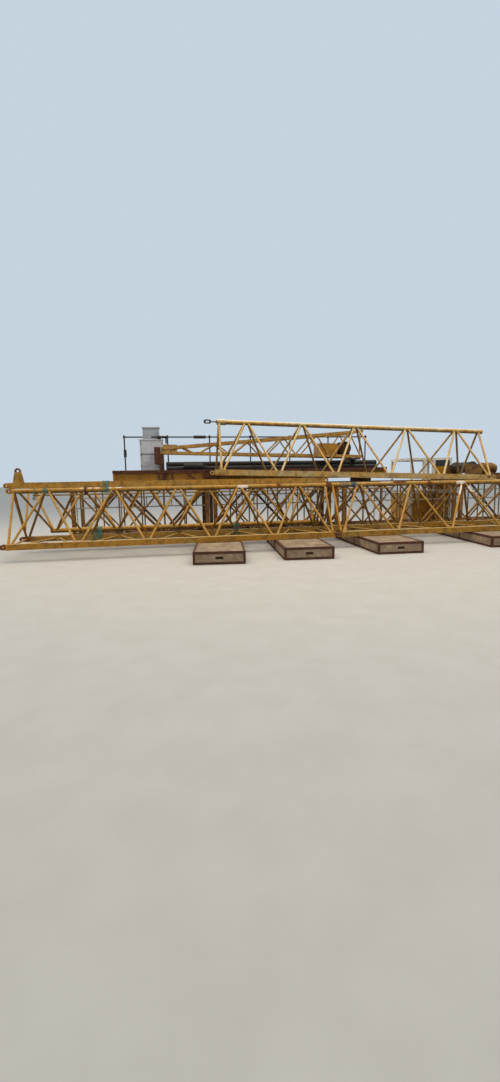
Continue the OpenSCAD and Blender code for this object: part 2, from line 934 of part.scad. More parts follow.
// yellow sheet panels of the cab's lower half, its floor, and a high panel right of the window
module cab_panels() color(yellow) {
    t = 4;
    in = cab_post + seat;
    low_h = cab_sill - cab_post - 2 * seat;
    translate([cab_x, cab_y, 0]) {
        for (y = [cab_post / 2 - t / 2, cab_d - cab_post / 2 - t / 2])
            translate([in, y, in])
                cube([cab_w - 2 * in, t, low_h]);
        for (x = [cab_post / 2 - t / 2, cab_w - cab_post / 2 - t / 2])
            translate([x, in, in])
                cube([t, cab_d - 2 * in, low_h]);
        translate([in, in, cab_post - 20])
            cube([cab_w - 2 * in, cab_d - 2 * in, 8]);
        translate([cab_bars()[1] + cab_bar + seat, cab_post / 2 - t / 2, cab_sill + in])
            cube([cab_w - in - cab_bars()[1] - cab_bar - seat, t, cab_h - cab_sill - 220 - in]);
    }
}

// base frame of the winch across the last two mast sections: channels, cross bars, bearings
module winch_frame() color(yellow)
    translate([winch_x, winch_y, rest_z + seat]) {
        for (y = [0, winch_w - 60])
            translate([0, y, 0])
                difference() {
                    cube([winch_l, 60, 100]);
                    translate([-slack, y > 0 ? -slack : 9, 9])
                        cube([winch_l + 2 * slack, 52, 82]);
                }
        for (x = [0, winch_l / 2 - 30, winch_l - 60])
            translate([x, 9 - slack, 20])
                cube([60, winch_w - 18 + 2 * slack, 60]);
        for (y = [30, winch_w - 50])
            difference() {
                translate([430, y, 100 - slack])
                    cube([drum_d + 160, 20, drum_d / 2 + 120]);
                translate([430 + drum_d / 2 + 80, y + 10, drum_axis])
                    rotate([90, 0, 0])
                        cylinder(h = 40, d = 60 + 2 * seat, center = true);
            }
    }

// rope drum with its flanges and shaft
module winch_drum() color([0.3, 0.28, 0.26])
    translate([winch_x + 430 + drum_d / 2 + 80, winch_y, rest_z + seat + drum_axis])
        rotate([-90, 0, 0]) {
            cylinder(h = winch_w, d = 60);
            translate([0, 0, 90])
                cylinder(h = drum_l + 60, d = drum_d - 60);
            for (z = [90, drum_l + 134])
                translate([0, 0, z])
                    cylinder(h = 16, d = drum_d);
        }

// motor of the winch: ribbed round housing on two feet
module winch_motor() color(yellow)
    translate([winch_x + 1080, winch_y + winch_w / 2, rest_z + 100 + 2 * seat]) {
        d = 260;
        translate([0, 0, d / 2 + 30])
            rotate([0, 90, 0]) {
                cylinder(h = 440, d = d);
                for (k = [0:7])
                    translate([0, 0, 40 + k * 44])
                        cylinder(h = 12, d = d + 36);
            }
        for (x = [70, 330])
            translate([x, -winch_w / 2, 0])
                cube([50, winch_w, 50]);
    }

translate([-(x_low + x_high) / 2, -(block_front + y_high) / 2, 0]) {
    front_jib_top_chord();
    front_jib_front_chord();
    front_jib_rear_chord();
    front_jib_front_lacing();
    front_jib_rear_lacing();
    front_jib_base_lacing();
    nested_jib_round_chord();
    nested_jib_front_chord();
    nested_jib_rear_chord();
    nested_jib_front_lacing();
    nested_jib_rear_lacing();
    nested_jib_base_lacing();
    upper_jib_top_chord();
    upper_jib_front_chord();
    upper_jib_rear_chord();
    upper_jib_front_lacing();
    upper_jib_rear_lacing();
    upper_jib_base_lacing();
    joint_pins();
    tie_bar();
    ballast_concrete();
    ballast_frames();
    timbers();
    mast_front_side();
    mast_rear_side();
    mast_cross_lacing();
    counter_jib_beams();
    counter_jib_deck();
    beam_brackets();
    guard_rail();
    control_cabinet();
    resistor_box();
    stored_pipes();
    deck_motor();
    tower_head_front_side();
    tower_head_rear_side();
    tower_head_cross_lacing();
    head_stand();
    head_housing();
    pendant_link();
    cab_frame();
    cab_panels();
    winch_frame();
    winch_drum();
    winch_motor();
}
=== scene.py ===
import bpy
import math
import random
from mathutils import Matrix, Vector


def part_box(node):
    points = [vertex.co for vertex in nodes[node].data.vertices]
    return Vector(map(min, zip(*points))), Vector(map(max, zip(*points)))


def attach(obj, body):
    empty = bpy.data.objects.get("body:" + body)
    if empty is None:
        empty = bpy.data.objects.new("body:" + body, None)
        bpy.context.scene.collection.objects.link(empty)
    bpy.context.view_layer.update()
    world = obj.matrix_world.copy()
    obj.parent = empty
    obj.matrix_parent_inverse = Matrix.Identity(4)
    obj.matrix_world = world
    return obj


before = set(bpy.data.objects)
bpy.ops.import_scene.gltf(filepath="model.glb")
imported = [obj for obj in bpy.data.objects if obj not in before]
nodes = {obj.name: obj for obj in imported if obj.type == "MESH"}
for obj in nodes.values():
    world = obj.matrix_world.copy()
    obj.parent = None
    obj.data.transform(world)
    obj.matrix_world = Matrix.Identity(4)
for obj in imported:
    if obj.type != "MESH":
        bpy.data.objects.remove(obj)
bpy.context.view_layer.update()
dice = random.Random(41)
print("frame loaded,", len(nodes), "nodes")

# sizes of the stack that the finish follows, in metres
jib = {"bay": 1.2, "bays": 5, "gauge": 1.1, "height": 1.055, "nestedHeight": 1.0047, "upperHeight": 1.13,
    "box": 0.105, "tube": 0.095, "eye": 0.102, "pitch": 6.11, "pinX": 6.055, "postIn": 0.03, "zig": 0.03,
    "aim": 0.014, "brace": 0.045, "cross": 0.038}
mast = {"start": 0.76, "pitch": 3.03, "count": 4, "length": 2.95, "front": 1.688, "width": 1.15,
    "low": 0.1303, "high": 1.2703, "leg": 0.1, "bays": 3}
xAxis, yAxis, zAxis = Vector((1, 0, 0)), Vector((0, 1, 0)), Vector((0, 0, 1))
fullTurn = 2 * math.pi
frontLow = Vector(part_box("front_jib_front_chord")[0])
stackStart = Vector((frontLow.x + jib["eye"], frontLow.y + jib["box"] / 2, 0))
rest = frontLow.z  # underside of the front section
topZ = rest + jib["height"]  # top of its round chord
tubeRadius = jib["tube"] / 2
chordY, chordZ = jib["gauge"] / 2, topZ - tubeRadius  # axis of its round chord


# x from the left end of the front jib, y from the axis of its front chord, z from the ground
def onStack(x, y, z):
    return stackStart + Vector((x, y, z))


def toLinear(hexText):
    parts = [int(hexText[k:k + 2], 16) / 255 for k in (0, 2, 4)]
    return tuple(c / 12.92 if c <= 0.04045 else ((c + 0.055) / 1.055) ** 2.4 for c in parts) + (1.0,)


# one node with its settings and inputs; an input is a socket, a number, a vector or a hex colour
def addNode(tree, kind, inputs=None, **settings):
    node = tree.nodes.new(kind)
    for key, value in settings.items():
        setattr(node, key, value)
    for key, source in (inputs or {}).items():
        if isinstance(source, bpy.types.NodeSocket):
            tree.links.new(source, node.inputs[key])
        else:
            node.inputs[key].default_value = toLinear(source) if isinstance(source, str) else source
    return node


def startMaterial(name, roughness, metallic=0.0, specular=0.5):
    material = bpy.data.materials.new(name)
    material.use_nodes = True
    tree = material.node_tree
    shader = tree.nodes["Principled BSDF"]
    shader.inputs["Roughness"].default_value = roughness
    shader.inputs["Metallic"].default_value = metallic
    shader.inputs["Specular IOR Level"].default_value = specular
    return material, tree, shader, addNode(tree, "ShaderNodeTexCoord").outputs["Object"]


# joins colour and relief to the shader; depth is how far the relief stands out, in metres
def joinShader(tree, shader, tone, relief, depth, strength):
    bump = addNode(tree, "ShaderNodeBump", {"Height": relief, "Distance": depth, "Strength": strength})
    tree.links.new(tone, shader.inputs["Base Color"])
    tree.links.new(bump.outputs[0], shader.inputs["Normal"])


# soft edged mask from a noise: 0 below low, 1 above high
def noiseMask(tree, place, scale, low, high, detail=4.0, stretch=None, rough=0.6):
    if stretch:
        place = addNode(tree, "ShaderNodeMapping", {"Vector": place, "Scale": stretch}).outputs[0]
    grain = addNode(tree, "ShaderNodeTexNoise",
        {"Vector": place, "Scale": scale, "Detail": detail, "Roughness": rough}).outputs[0]
    return addNode(tree, "ShaderNodeMapRange", {"Value": grain, "From Min": low, "From Max": high},
        interpolation_type="SMOOTHSTEP").outputs[0]


# sum of masks, each times its weight, kept from 0 to 1
def weigh(tree, *parts):
    total = None
    for mask, weight in parts:
        if weight != 1.0:
            mask = addNode(tree, "ShaderNodeMath", {0: mask, 1: weight}, operation="MULTIPLY",
                use_clamp=True).outputs[0]
        total = mask if total is None else addNode(tree, "ShaderNodeMath", {0: total, 1: mask},
            operation="ADD", use_clamp=True).outputs[0]
    return total


# one colour laid over another where a mask shows, as strongly as amount says
def layOver(tree, under, over, mask, amount=1.0):
    return addNode(tree, "ShaderNodeMix", {0: weigh(tree, (mask, amount)), 6: under, 7: over},
        data_type="RGBA").outputs[2]


# how far a face looks up, eased from low to high
def facing(tree, low, high):
    normal = addNode(tree, "ShaderNodeNewGeometry").outputs["Normal"]
    split = addNode(tree, "ShaderNodeSeparateXYZ", {"Vector": normal})
    return addNode(tree, "ShaderNodeMapRange",
        {"Value": split.outputs["Z"], "From Min": low, "From Max": high},
        interpolation_type="SMOOTHSTEP").outputs[0]


# mask of listed spots, each a centre and three reaches in metres, its edge broken up by a noise
def spotMask(tree, place, spots):
    total = None
    edge = addNode(tree, "ShaderNodeTexNoise",
        {"Vector": place, "Scale": 24.0, "Detail": 5.0, "Roughness": 0.65}).outputs[0]
    for centre, reach in spots:
        off = addNode(tree, "ShaderNodeVectorMath", {0: place, 1: tuple(onStack(*centre))},
            operation="SUBTRACT").outputs[0]
        near = addNode(tree, "ShaderNodeVectorMath", {0: off, 1: tuple(1 / r for r in reach)},
            operation="MULTIPLY").outputs[0]
        away = addNode(tree, "ShaderNodeVectorMath", {0: near}, operation="LENGTH").outputs["Value"]
        inside = addNode(tree, "ShaderNodeMapRange",
            {"Value": away, "From Min": 1.35, "From Max": 0.45}).outputs[0]
        spot = addNode(tree, "ShaderNodeMapRange",
            {"Value": weigh(tree, (inside, 0.5), (edge, 0.62)), "From Min": 0.56, "From Max": 0.63},
            interpolation_type="SMOOTHSTEP").outputs[0]
        total = spot if total is None else addNode(tree, "ShaderNodeMath", {0: total, 1: spot},
            operation="MAXIMUM", use_clamp=True).outputs[0]
    return total


# enamel paint brushed on rolled steel: colour gone chalky in patches, pale dust on top faces that is also
# painted highlight, grime blotches and painted shade on the undersides, streaks where rain ran, and chips down
# to rust
def brushedEnamel(name, look):
    material, tree, shader, place = startMaterial(name, look["roughness"], specular=0.35)
    chalk = noiseMask(tree, place, 2.3, 0.38, 0.66)
    colour = layOver(tree, look["fresh"], look["faded"], chalk)
    # runs of 8 mm, drawn 30 mm wide so that they show
    streak = noiseMask(tree, place, 1.0, 0.5, 0.72, detail=3.0, stretch=(30.0, 30.0, 3.0))
    colour = layOver(tree, colour, look["grime"], streak, look["streaks"])
    # grime blotches, and painted shade: faces that look down are darkened towards the grime colour
    darkening = noiseMask(tree, place, 9.0, 0.42, 0.68, detail=6.0)
    paintedUnderShade = facing(tree, 0.45, -0.6)
    grimeAndUnderShade = weigh(tree, (weigh(tree, (darkening, 0.45), (paintedUnderShade, 0.85)), look["darkening"]))
    colour = layOver(tree, colour, look["grime"], grimeAndUnderShade)
    # pale dust on faces that look up, laid on also as a painted highlight on the tops
    colour = layOver(tree, colour, look["dustAndHighlightColour"], facing(tree, 0.45, 0.98), look["dust"])
    rustTone = layOver(tree, look["rust"], look["rustLight"], noiseMask(tree, place, 46.0, 0.35, 0.65))
    # chips of 10 to 60 mm
    chips = noiseMask(tree, place, 8.0, look["chipLow"], look["chipLow"] + 0.05, detail=8.0, rough=0.74)
    if look["rustSpots"]:
        chips = addNode(tree, "ShaderNodeMath", {0: chips, 1: spotMask(tree, place, look["rustSpots"])},
            operation="MAXIMUM", use_clamp=True).outputs[0]
    colour = layOver(tree, colour, rustTone, chips, 0.92)
    # white primer where the paint is worn through, and painted highlight in the thin stripes along the top of
    # the round chord
    if look["primerAndHighlightSpots"]:
        bareAndHighlight = spotMask(tree, place, look["primerAndHighlightSpots"])
        colour = layOver(tree, colour, look["primerAndHighlight"], bareAndHighlight, 0.86)
    rough = addNode(tree, "ShaderNodeMapRange",
        {"Value": weigh(tree, (chips, 1.0), (grimeAndUnderShade, 0.6)), "To Min": look["roughness"], "To Max": 0.88})
    tree.links.new(rough.outputs[0], shader.inputs["Roughness"])
    marks = addNode(tree, "ShaderNodeTexNoise", {"Vector": place, "Scale": 90.0, "Detail": 3.0}).outputs[0]
    relief = addNode(tree, "ShaderNodeMath",
        {0: weigh(tree, (marks, 0.25)), 1: weigh(tree, (chips, 0.25))},
        operation="SUBTRACT", use_clamp=True).outputs[0]
    joinShader(tree, shader, colour, relief, 0.004, 0.7)
    return material


dryDust = "94795c"


# hot rolled steel left to rust: brown scale with lighter bloom, fully matt
def rustedSteel(name, look):
    material, tree, shader, place = startMaterial(name, 0.85, specular=0.3)
    scale = noiseMask(tree, place, 7.0, 0.35, 0.65, detail=6.0)
    tone = layOver(tree, look["deep"], look["mid"], scale)
    tone = layOver(tree, tone, look["bloom"], noiseMask(tree, place, 27.0, 0.5, 0.68, detail=5.0), 0.7)
    tone = layOver(tree, tone, dryDust, facing(tree, 0.35, 0.95), look["dust"])
    # scale flakes of 15 mm
    flakes = addNode(tree, "ShaderNodeTexNoise", {"Vector": place, "Scale": 60.0, "Detail": 6.0}).outputs[0]
    joinShader(tree, shader, tone, flakes, 0.005, 0.8)
    return material


# deck plate rolled with raised tear marks, rusted: the marks stay paler where boots rub them
def rolledTearPlate(name, look):
    material, tree, shader, place = startMaterial(name, 0.82, specular=0.3)
    scale = noiseMask(tree, place, 5.0, 0.35, 0.65, detail=6.0)
    tone = layOver(tree, look["deep"], look["mid"], scale)
    # tears 30 mm apart, drawn at 60 mm so that they show
    turned = addNode(tree, "ShaderNodeMapping",
        {"Vector": place, "Rotation": (0, 0, 0.785), "Scale": (16.0, 34.0, 16.0)}).outputs[0]
    tears = addNode(tree, "ShaderNodeTexVoronoi", {"Vector": turned, "Scale": 1.0, "Randomness": 0.12},
        feature="F1").outputs["Distance"]
    raised = addNode(tree, "ShaderNodeMapRange", {"Value": tears, "From Min": 0.34, "From Max": 0.22},
        interpolation_type="SMOOTHSTEP").outputs[0]
    tone = layOver(tree, tone, look["bloom"], raised, 0.4)
    tone = layOver(tree, tone, dryDust, facing(tree, 0.35, 0.95), look["dust"])
    joinShader(tree, shader, tone, raised, 0.004, 0.9)
    return material


# concrete cast in a steel frame: grey paste with pores darkened by painted shade, the sides darker than the top
# by painted shade, brown runs on the sides
def castConcrete(name, look):
    material, tree, shader, place = startMaterial(name, 0.92, specular=0.25)
    tone = layOver(tree, look["grey"], look["pale"], noiseMask(tree, place, 4.2, 0.36, 0.64, detail=6.0))
    stain = noiseMask(tree, place, 7.5, 0.42, 0.66, detail=9.0, stretch=(1.0, 0.6, 1.0), rough=0.76)
    tone = layOver(tree, tone, look["stain"], stain, 0.7)
    side = addNode(tree, "ShaderNodeMath", {0: 1.0, 1: facing(tree, 0.3, 0.8)}, operation="SUBTRACT",
        use_clamp=True).outputs[0]
    drips = noiseMask(tree, place, 1.0, 0.5, 0.7, stretch=(7.0, 7.0, 1.6))
    runs = addNode(tree, "ShaderNodeMath", {0: drips, 1: side}, operation="MULTIPLY",
        use_clamp=True).outputs[0]
    tone = layOver(tree, tone, look["rustRun"], runs, 0.6)
    # painted shade: the sides darkened against the top
    tone = layOver(tree, tone, look["shade"], side, 0.12)
    # aggregate of 12 mm, drawn at 22 mm
    stones = addNode(tree, "ShaderNodeTexVoronoi", {"Vector": place, "Scale": 45.0}).outputs["Distance"]
    pits = addNode(tree, "ShaderNodeMapRange", {"Value": stones, "From Max": 0.28}).outputs[0]
    # painted shade in the pores: the pits darkened towards the shade colour
    pores = addNode(tree, "ShaderNodeMath", {0: 0.35, 1: weigh(tree, (pits, 0.35))},
        operation="SUBTRACT", use_clamp=True).outputs[0]
    tone = layOver(tree, tone, look["shade"], pores)
    grit = addNode(tree, "ShaderNodeTexNoise",
        {"Vector": place, "Scale": 38.0, "Detail": 7.0, "Roughness": 0.7}).outputs[0]
    joinShader(tree, shader, tone, weigh(tree, (grit, 0.6), (pits, 0.3)), 0.014, 0.9)
    return material


# rough sawn softwood, greyed: fibres along the beam and dark checks
def sawnTimber(name, look):
    material, tree, shader, place = startMaterial(name, 0.9, specular=0.2)
    fibre = noiseMask(tree, place, 1.0, 0.35, 0.65, detail=6.0, stretch=(42.0, 2.4, 42.0))
    tone = layOver(tree, look["dark"], look["light"], fibre)
    tone = layOver(tree, tone, look["grey"], noiseMask(tree, place, 5.0, 0.45, 0.7), 0.6)
    joinShader(tree, shader, tone, fibre, 0.006, 0.7)
    return material


# baked enamel on folded sheet: even satin colour, washed dirt and a little rust at the folds
def bakedSheet(name, look):
    material, tree, shader, place = startMaterial(name, look["roughness"], specular=0.45)
    tone = layOver(tree, look["colour"], look["aged"], noiseMask(tree, place, 3.0, 0.35, 0.7))
    streak = noiseMask(tree, place, 1.0, 0.52, 0.75, detail=3.0, stretch=(18.0, 18.0, 1.6))
    tone = layOver(tree, tone, look["grime"], streak, look["streaks"])
    chips = noiseMask(tree, place, 13.0, look["chipLow"], look["chipLow"] + 0.05, detail=7.0, rough=0.7)
    tone = layOver(tree, tone, look["rust"], chips)
    # orange peel of 2 mm, drawn at 8 mm
    peel = addNode(tree, "ShaderNodeTexNoise", {"Vector": place, "Scale": 120.0, "Detail": 2.0}).outputs[0]
    joinShader(tree, shader, tone, peel, 0.0015, 0.5)
    return material


# polypropylene rope laid in three strands: satin fibre, with painted shade darkening the grooves between the
# strands
def laidRope(name, look):
    material, tree, shader, place = startMaterial(name, 0.55, specular=0.4)
    # strand pitch of 12 mm
    lay = addNode(tree, "ShaderNodeTexWave", {"Vector": place, "Scale": 26.0, "Distortion": 1.5},
        wave_type="BANDS", bands_direction="DIAGONAL").outputs[1]
    # painted shade in the grooves between the strands
    tone = layOver(tree, look["groove"], look["strand"], lay)
    tone = layOver(tree, tone, look["grime"], noiseMask(tree, place, 9.0, 0.4, 0.7), 0.6)
    joinShader(tree, shader, tone, lay, 0.002, 0.8)
    return material


# soft plastic tape wound tight: glossy folds, pale creases
def woundTape(name, look):
    material, tree, shader, place = startMaterial(name, 0.32, specular=0.5)
    crease = noiseMask(tree, place, 1.0, 0.5, 0.62, stretch=(46.0, 12.0, 12.0))
    tone = layOver(tree, look["dark"], look["blue"], noiseMask(tree, place, 14.0, 0.42, 0.6))
    tone = layOver(tree, tone, look["pale"], crease, 0.55)
    joinShader(tree, shader, tone, crease, 0.004, 0.8)
    return material


# steel with a thin dulled zinc or oil coat: metal that shows through brown bloom
def coatedSteel(name, look):
    material, tree, shader, place = startMaterial(name, look["roughness"], look["metallic"])
    bloom = noiseMask(tree, place, 24.0, look["bloomLow"], look["bloomLow"] + 0.16, detail=6.0)
    tone = layOver(tree, look["colour"], look["bloom"], bloom)
    grain = addNode(tree, "ShaderNodeTexNoise", {"Vector": place, "Scale": 150.0, "Detail": 3.0}).outputs[0]
    joinShader(tree, shader, tone, grain, 0.001, 0.6)
    return material


# float glass, opaque, in a near-black colour that is painted shade for the dark cab behind it, with dust dried
# on it
def dustyGlass(name, look):
    material, tree, shader, place = startMaterial(name, 0.12, specular=0.5)
    dust = noiseMask(tree, place, 6.0, 0.4, 0.75, detail=5.0)
    tree.links.new(layOver(tree, look["shadeBehind"], look["dust"], dust, 0.45), shader.inputs["Base Color"])
    rough = addNode(tree, "ShaderNodeMapRange", {"Value": dust, "To Min": 0.1, "To Max": 0.6})
    tree.links.new(rough.outputs[0], shader.inputs["Roughness"])
    return material


# a spot is its centre on the stack and its reach along x, y and z: rust spots are wear, primer spots bare
# primer, and the long thin primer spots along the top of the round chord are painted highlight
jibLook = {"fresh": "bb7f12", "faded": "b68b3a", "grime": "573809", "rust": "4a2512",
    "rustLight": "854b26", "dustAndHighlightColour": "dfc283", "primerAndHighlight": "ecd9c8", "roughness": 0.42, "streaks": 0.35,
    "darkening": 0.9, "dust": 0.5, "chipLow": 0.63,
    "primerAndHighlightSpots": [((1.22, 0.51, 1.26), (0.06, 0.05, 0.014)), ((1.37, 0.51, 1.258), (0.045, 0.05, 0.016)),
        ((1.5, 0.51, 1.259), (0.06, 0.05, 0.015)), ((1.73, 0.51, 1.257), (0.05, 0.05, 0.016)),
        ((1.89, 0.51, 1.259), (0.085, 0.05, 0.016)), ((4.27, 0.5, 1.228), (0.14, 0.06, 0.04)),
        ((9.03, 0.5, 1.225), (0.13, 0.07, 0.045)), ((8.98, 0.44, 1.06), (0.11, 0.12, 0.2)),
        ((9.23, 0.44, 1.1), (0.09, 0.1, 0.1)), ((7.3, 0.5, 1.265), (0.24, 0.05, 0.014)),
        ((0.2, 0.5, 1.265), (0.2, 0.05, 0.012))],
    "rustSpots": [((6.05, 0.0, 0.28), (0.16, 0.09, 0.09)), ((6.05, 0.55, 1.22), (0.1, 0.09, 0.07)),
        ((7.62, 0.5, 1.255), (0.2, 0.08, 0.04)), ((-0.05, 0.0, 0.27), (0.09, 0.09, 0.08)),
        ((-0.02, 1.1, 0.27), (0.3, 0.09, 0.09)), ((0.62, 0.0, 0.32), (0.1, 0.07, 0.025)),
        ((6.6, 0.0, 0.25), (0.1, 0.06, 0.04)), ((7.7, 0.0, 0.27), (0.12, 0.06, 0.04)),
        ((5.0, 0.5, 1.24), (0.06, 0.07, 0.05)), ((8.3, 0.5, 1.235), (0.07, 0.07, 0.04)),
        ((2.6, 0.0, 0.3), (0.09, 0.06, 0.03))]}
plain = {"primerAndHighlightSpots": None, "rustSpots": None}
nestedLook = dict(jibLook, fresh="c6891a", faded="bb8d38", grime="52340e", dust=0.35, chipLow=0.61,
    primerAndHighlightSpots=None,
    rustSpots=[((1.95, 0.58, 1.36), (0.08, 0.07, 0.06)), ((3.95, 0.58, 1.42), (0.14, 0.07, 0.05)),
        ((0.12, 0.58, 1.6), (0.07, 0.05, 0.05)), ((5.9, 0.58, 1.42), (0.16, 0.08, 0.06))])
upperLook = dict(jibLook, fresh="cc9c48", faded="ccb079", grime="5c431f", dust=0.8, dustAndHighlightColour="efe6d2",
    primerAndHighlightSpots=None,
    rustSpots=[((4.0, 1.13, 2.3), (0.12, 0.08, 0.06)), ((6.5, 0.58, 1.33), (0.22, 0.08, 0.05)),
        ((3.86, 0.58, 1.45), (0.12, 0.08, 0.06)), ((9.75, 0.58, 1.33), (0.12, 0.08, 0.06))])
# mast paint: the jib paint made darker, its dust too, as grime and painted shade for the mast lying deep in the
# stack
mastLook = dict(jibLook, fresh="b07c30", faded="946632", grime="45290f", rust="401f10", rustLight="704020",
    dustAndHighlightColour="b8925f", chipLow=0.55, dust=0.3, **plain)
beamLook = dict(jibLook, fresh="bf8610", faded="ae7c20", grime="50340a", darkening=0.55, dust=0.25,
    roughness=0.38, chipLow=0.66, **plain)
headLook = dict(jibLook, fresh="c8963a", faded="b58c4c", grime="573a1a", chipLow=0.59, **plain)
winchLook = dict(headLook, fresh="926522", faded="805824", grime="3c2510", chipLow=0.55)
darkLook = dict(jibLook, fresh="17181a", faded="211f1c", grime="2f231a", dustAndHighlightColour="54493c", darkening=0.5,
    streaks=0.2, chipLow=0.62, dust=0.3, **plain)
sheetLook = {"rust": "5b3622", "chipLow": 0.76, "streaks": 0.3}
finishes = {
    "jib": brushedEnamel("enamelPaintOnJibSteel", jibLook),
    "nested": brushedEnamel("enamelPaintOnNestedJibSteel", nestedLook),
    "upper": brushedEnamel("enamelPaintOnUpperJibSteel", upperLook),
    "mast": brushedEnamel("wornEnamelOnMastSteelWithPaintedShade", mastLook),
    "beam": brushedEnamel("enamelPaintOnRolledBeam", beamLook),
    "head": brushedEnamel("enamelPaintOnTowerHeadSteel", headLook),
    "winch": brushedEnamel("enamelPaintOnWinchCasting", winchLook),
    "dark": brushedEnamel("blackEnamelOnTube", darkLook),
    "deck": rolledTearPlate("rolledTearPlateRusted",
        {"deep": "3a281d", "mid": "523a2a", "bloom": "6e503a", "dust": 0.3}),
    "angle": rustedSteel("hotRolledAngleRusted",
        {"deep": "3a2217", "mid": "522f1f", "bloom": "72432b", "dust": 0.2}),
    "pin": rustedSteel("forgedPinRusted", {"deep": "2a1812", "mid": "44271a", "bloom": "7a4a2c", "dust": 0.1}),
    "concrete": castConcrete("concreteCastInFrame",
        {"grey": "927b63", "pale": "ab9377", "stain": "705b46", "rustRun": "6b452c", "shade": "5f4e3c"}),
    "timber": sawnTimber("softwoodRoughSawn", {"dark": "3b2a1c", "light": "7a5f42", "grey": "6d6355"}),
    "cabinet": bakedSheet("bakedEnamelOnSheetSteel",
        dict(sheetLook, colour="bdb9bd", aged="aeabb0", grime="746a64", roughness=0.4)),
    "casing": bakedSheet("bakedEnamelOnResistorCasing",
        dict(sheetLook, colour="969a9f", aged="8b8d92", grime="625c56", roughness=0.45)),
    "white": bakedSheet("whiteEnamelOnCabSteel", dict(sheetLook, colour="e2dacb", aged="bfb09a",
        grime="66553f", roughness=0.45, chipLow=0.62, streaks=0.45)),
    "drum": rustedSteel("machinedSteelDulled",
        {"deep": "35302b", "mid": "544a3f", "bloom": "6d4a30", "dust": 0.2}),
    "rope": laidRope("polypropyleneRopeLaid", {"strand": "5fa08a", "groove": "2c5a4e", "grime": "6a6a4c"}),
    "tape": woundTape("plasticTapeWound", {"dark": "16201f", "blue": "23424a", "pale": "b9c2c0"}),
    "zinc": coatedSteel("zincPlatedBoltDulled",
        {"colour": "8a8478", "bloom": "5a3520", "bloomLow": 0.42, "roughness": 0.55, "metallic": 0.7}),
    "wire": coatedSteel("steelWireRopeOiled",
        {"colour": "4a4640", "bloom": "3a2418", "bloomLow": 0.5, "roughness": 0.5, "metallic": 0.6}),
    "galvanised": coatedSteel("zincCoatDippedOnLadder",
        {"colour": "c2b9a0", "bloom": "6e5233", "bloomLow": 0.5, "roughness": 0.6, "metallic": 0.25}),
    "glass": dustyGlass("floatGlassWithPaintedShade", {"shadeBehind": "14181a", "dust": "5c5850"}),
}
finishOf = {"ballast_concrete": "concrete", "ballast_frames": "angle", "timbers": "timber",
    "joint_pins": "pin", "head_stand": "angle", "beam_brackets": "angle", "counter_jib_beams": "beam",
    "counter_jib_deck": "deck", "guard_rail": "dark", "stored_pipes": "dark", "pendant_link": "dark",
    "deck_motor": "dark", "control_cabinet": "cabinet", "resistor_box": "casing", "cab_frame": "white",
    "cab_panels": "beam", "winch_frame": "winch", "winch_motor": "winch", "winch_drum": "drum",
    "head_housing": "beam"}
families = {"front_jib": "jib", "nested_jib": "nested", "upper_jib": "upper", "tie_bar": "jib",
    "mast_": "mast", "tower_head": "head"}
for name, piece in nodes.items():
    kind = finishOf.get(name) or next(kind for start, kind in families.items() if name.startswith(start))
    piece.data.materials.clear()
    piece.data.materials.append(finishes[kind])
print("finishes made:", len(finishes))


def finishPiece(name, build, finish, smooth=True):
    mesh = bpy.data.meshes.new(name)
    mesh.from_pydata([tuple(v) for v in build[0]], [], build[1])
    mesh.validate()
    mesh.update()
    if smooth:
        mesh.shade_smooth()
        mesh.set_sharp_from_angle(angle=math.radians(40))
    piece = bpy.data.objects.new(name, mesh)
    bpy.context.scene.collection.objects.link(piece)
    mesh.materials.append(finishes[finish])
    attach(piece, "root")
    return piece


# adds a skin over rows of points, each row as long as the next; closed joins the last row to the
# first, otherwise capped fills the two end rows
def addSkin(build, rows, closed=False, capped=True):
    vertices, faces = build
    start, sides, count = len(vertices), len(rows[0]), len(rows)
    for row in rows:
        vertices.extend(row)
    for k in range(count if closed else count - 1):
        a, b = start + k * sides, start + (k + 1) % count * sides
        faces.extend((a + s, a + (s + 1) % sides, b + (s + 1) % sides, b + s) for s in range(sides))
    if capped and not closed:
        faces.append(tuple(start + s for s in reversed(range(sides))))
        faces.append(tuple(start + (count - 1) * sides + s for s in range(sides)))


# points of a circle round its middle, from the first direction towards the second
def circle(middle, first, second, radius, steps):
    turns = [fullTurn * s / steps for s in range(steps)]
    return [middle + (first * math.cos(turn) + second * math.sin(turn)) * radius for turn in turns]


# a direction square to an axis, level unless the axis stands upright
def squareTo(axis):
    side = axis.cross(zAxis)
    return (axis.cross(xAxis) if side.length < 0.05 else side).normalized()


# adds a round bar or a rope along points; closed joins its ends
def addTube(build, points, radius, sides=6, closed=False):
    rows, count = [], len(points)
    for k, point in enumerate(points):
        ahead = points[(k + 1) % count] if closed or k + 1 < count else point
        back = points[k - 1] if closed or k > 0 else point
        along = (ahead - back).normalized()
        side = squareTo(along)
        rows.append(circle(point, side, along.cross(side), radius, sides))
    addSkin(build, rows, closed)


# adds a straight bar between two places on the stack
def addBar(build, first, last, radius):
    addTube(build, [onStack(*first), onStack(*last)], radius, 7)


# adds a turned shape: pairs of distance along the axis and radius, from base
def addTurned(build, base, axis, profile, sides=20):
    side = squareTo(axis)
    addSkin(build, [circle(base + axis * along, side, axis.cross(side), radius, sides)
        for along, radius in profile])


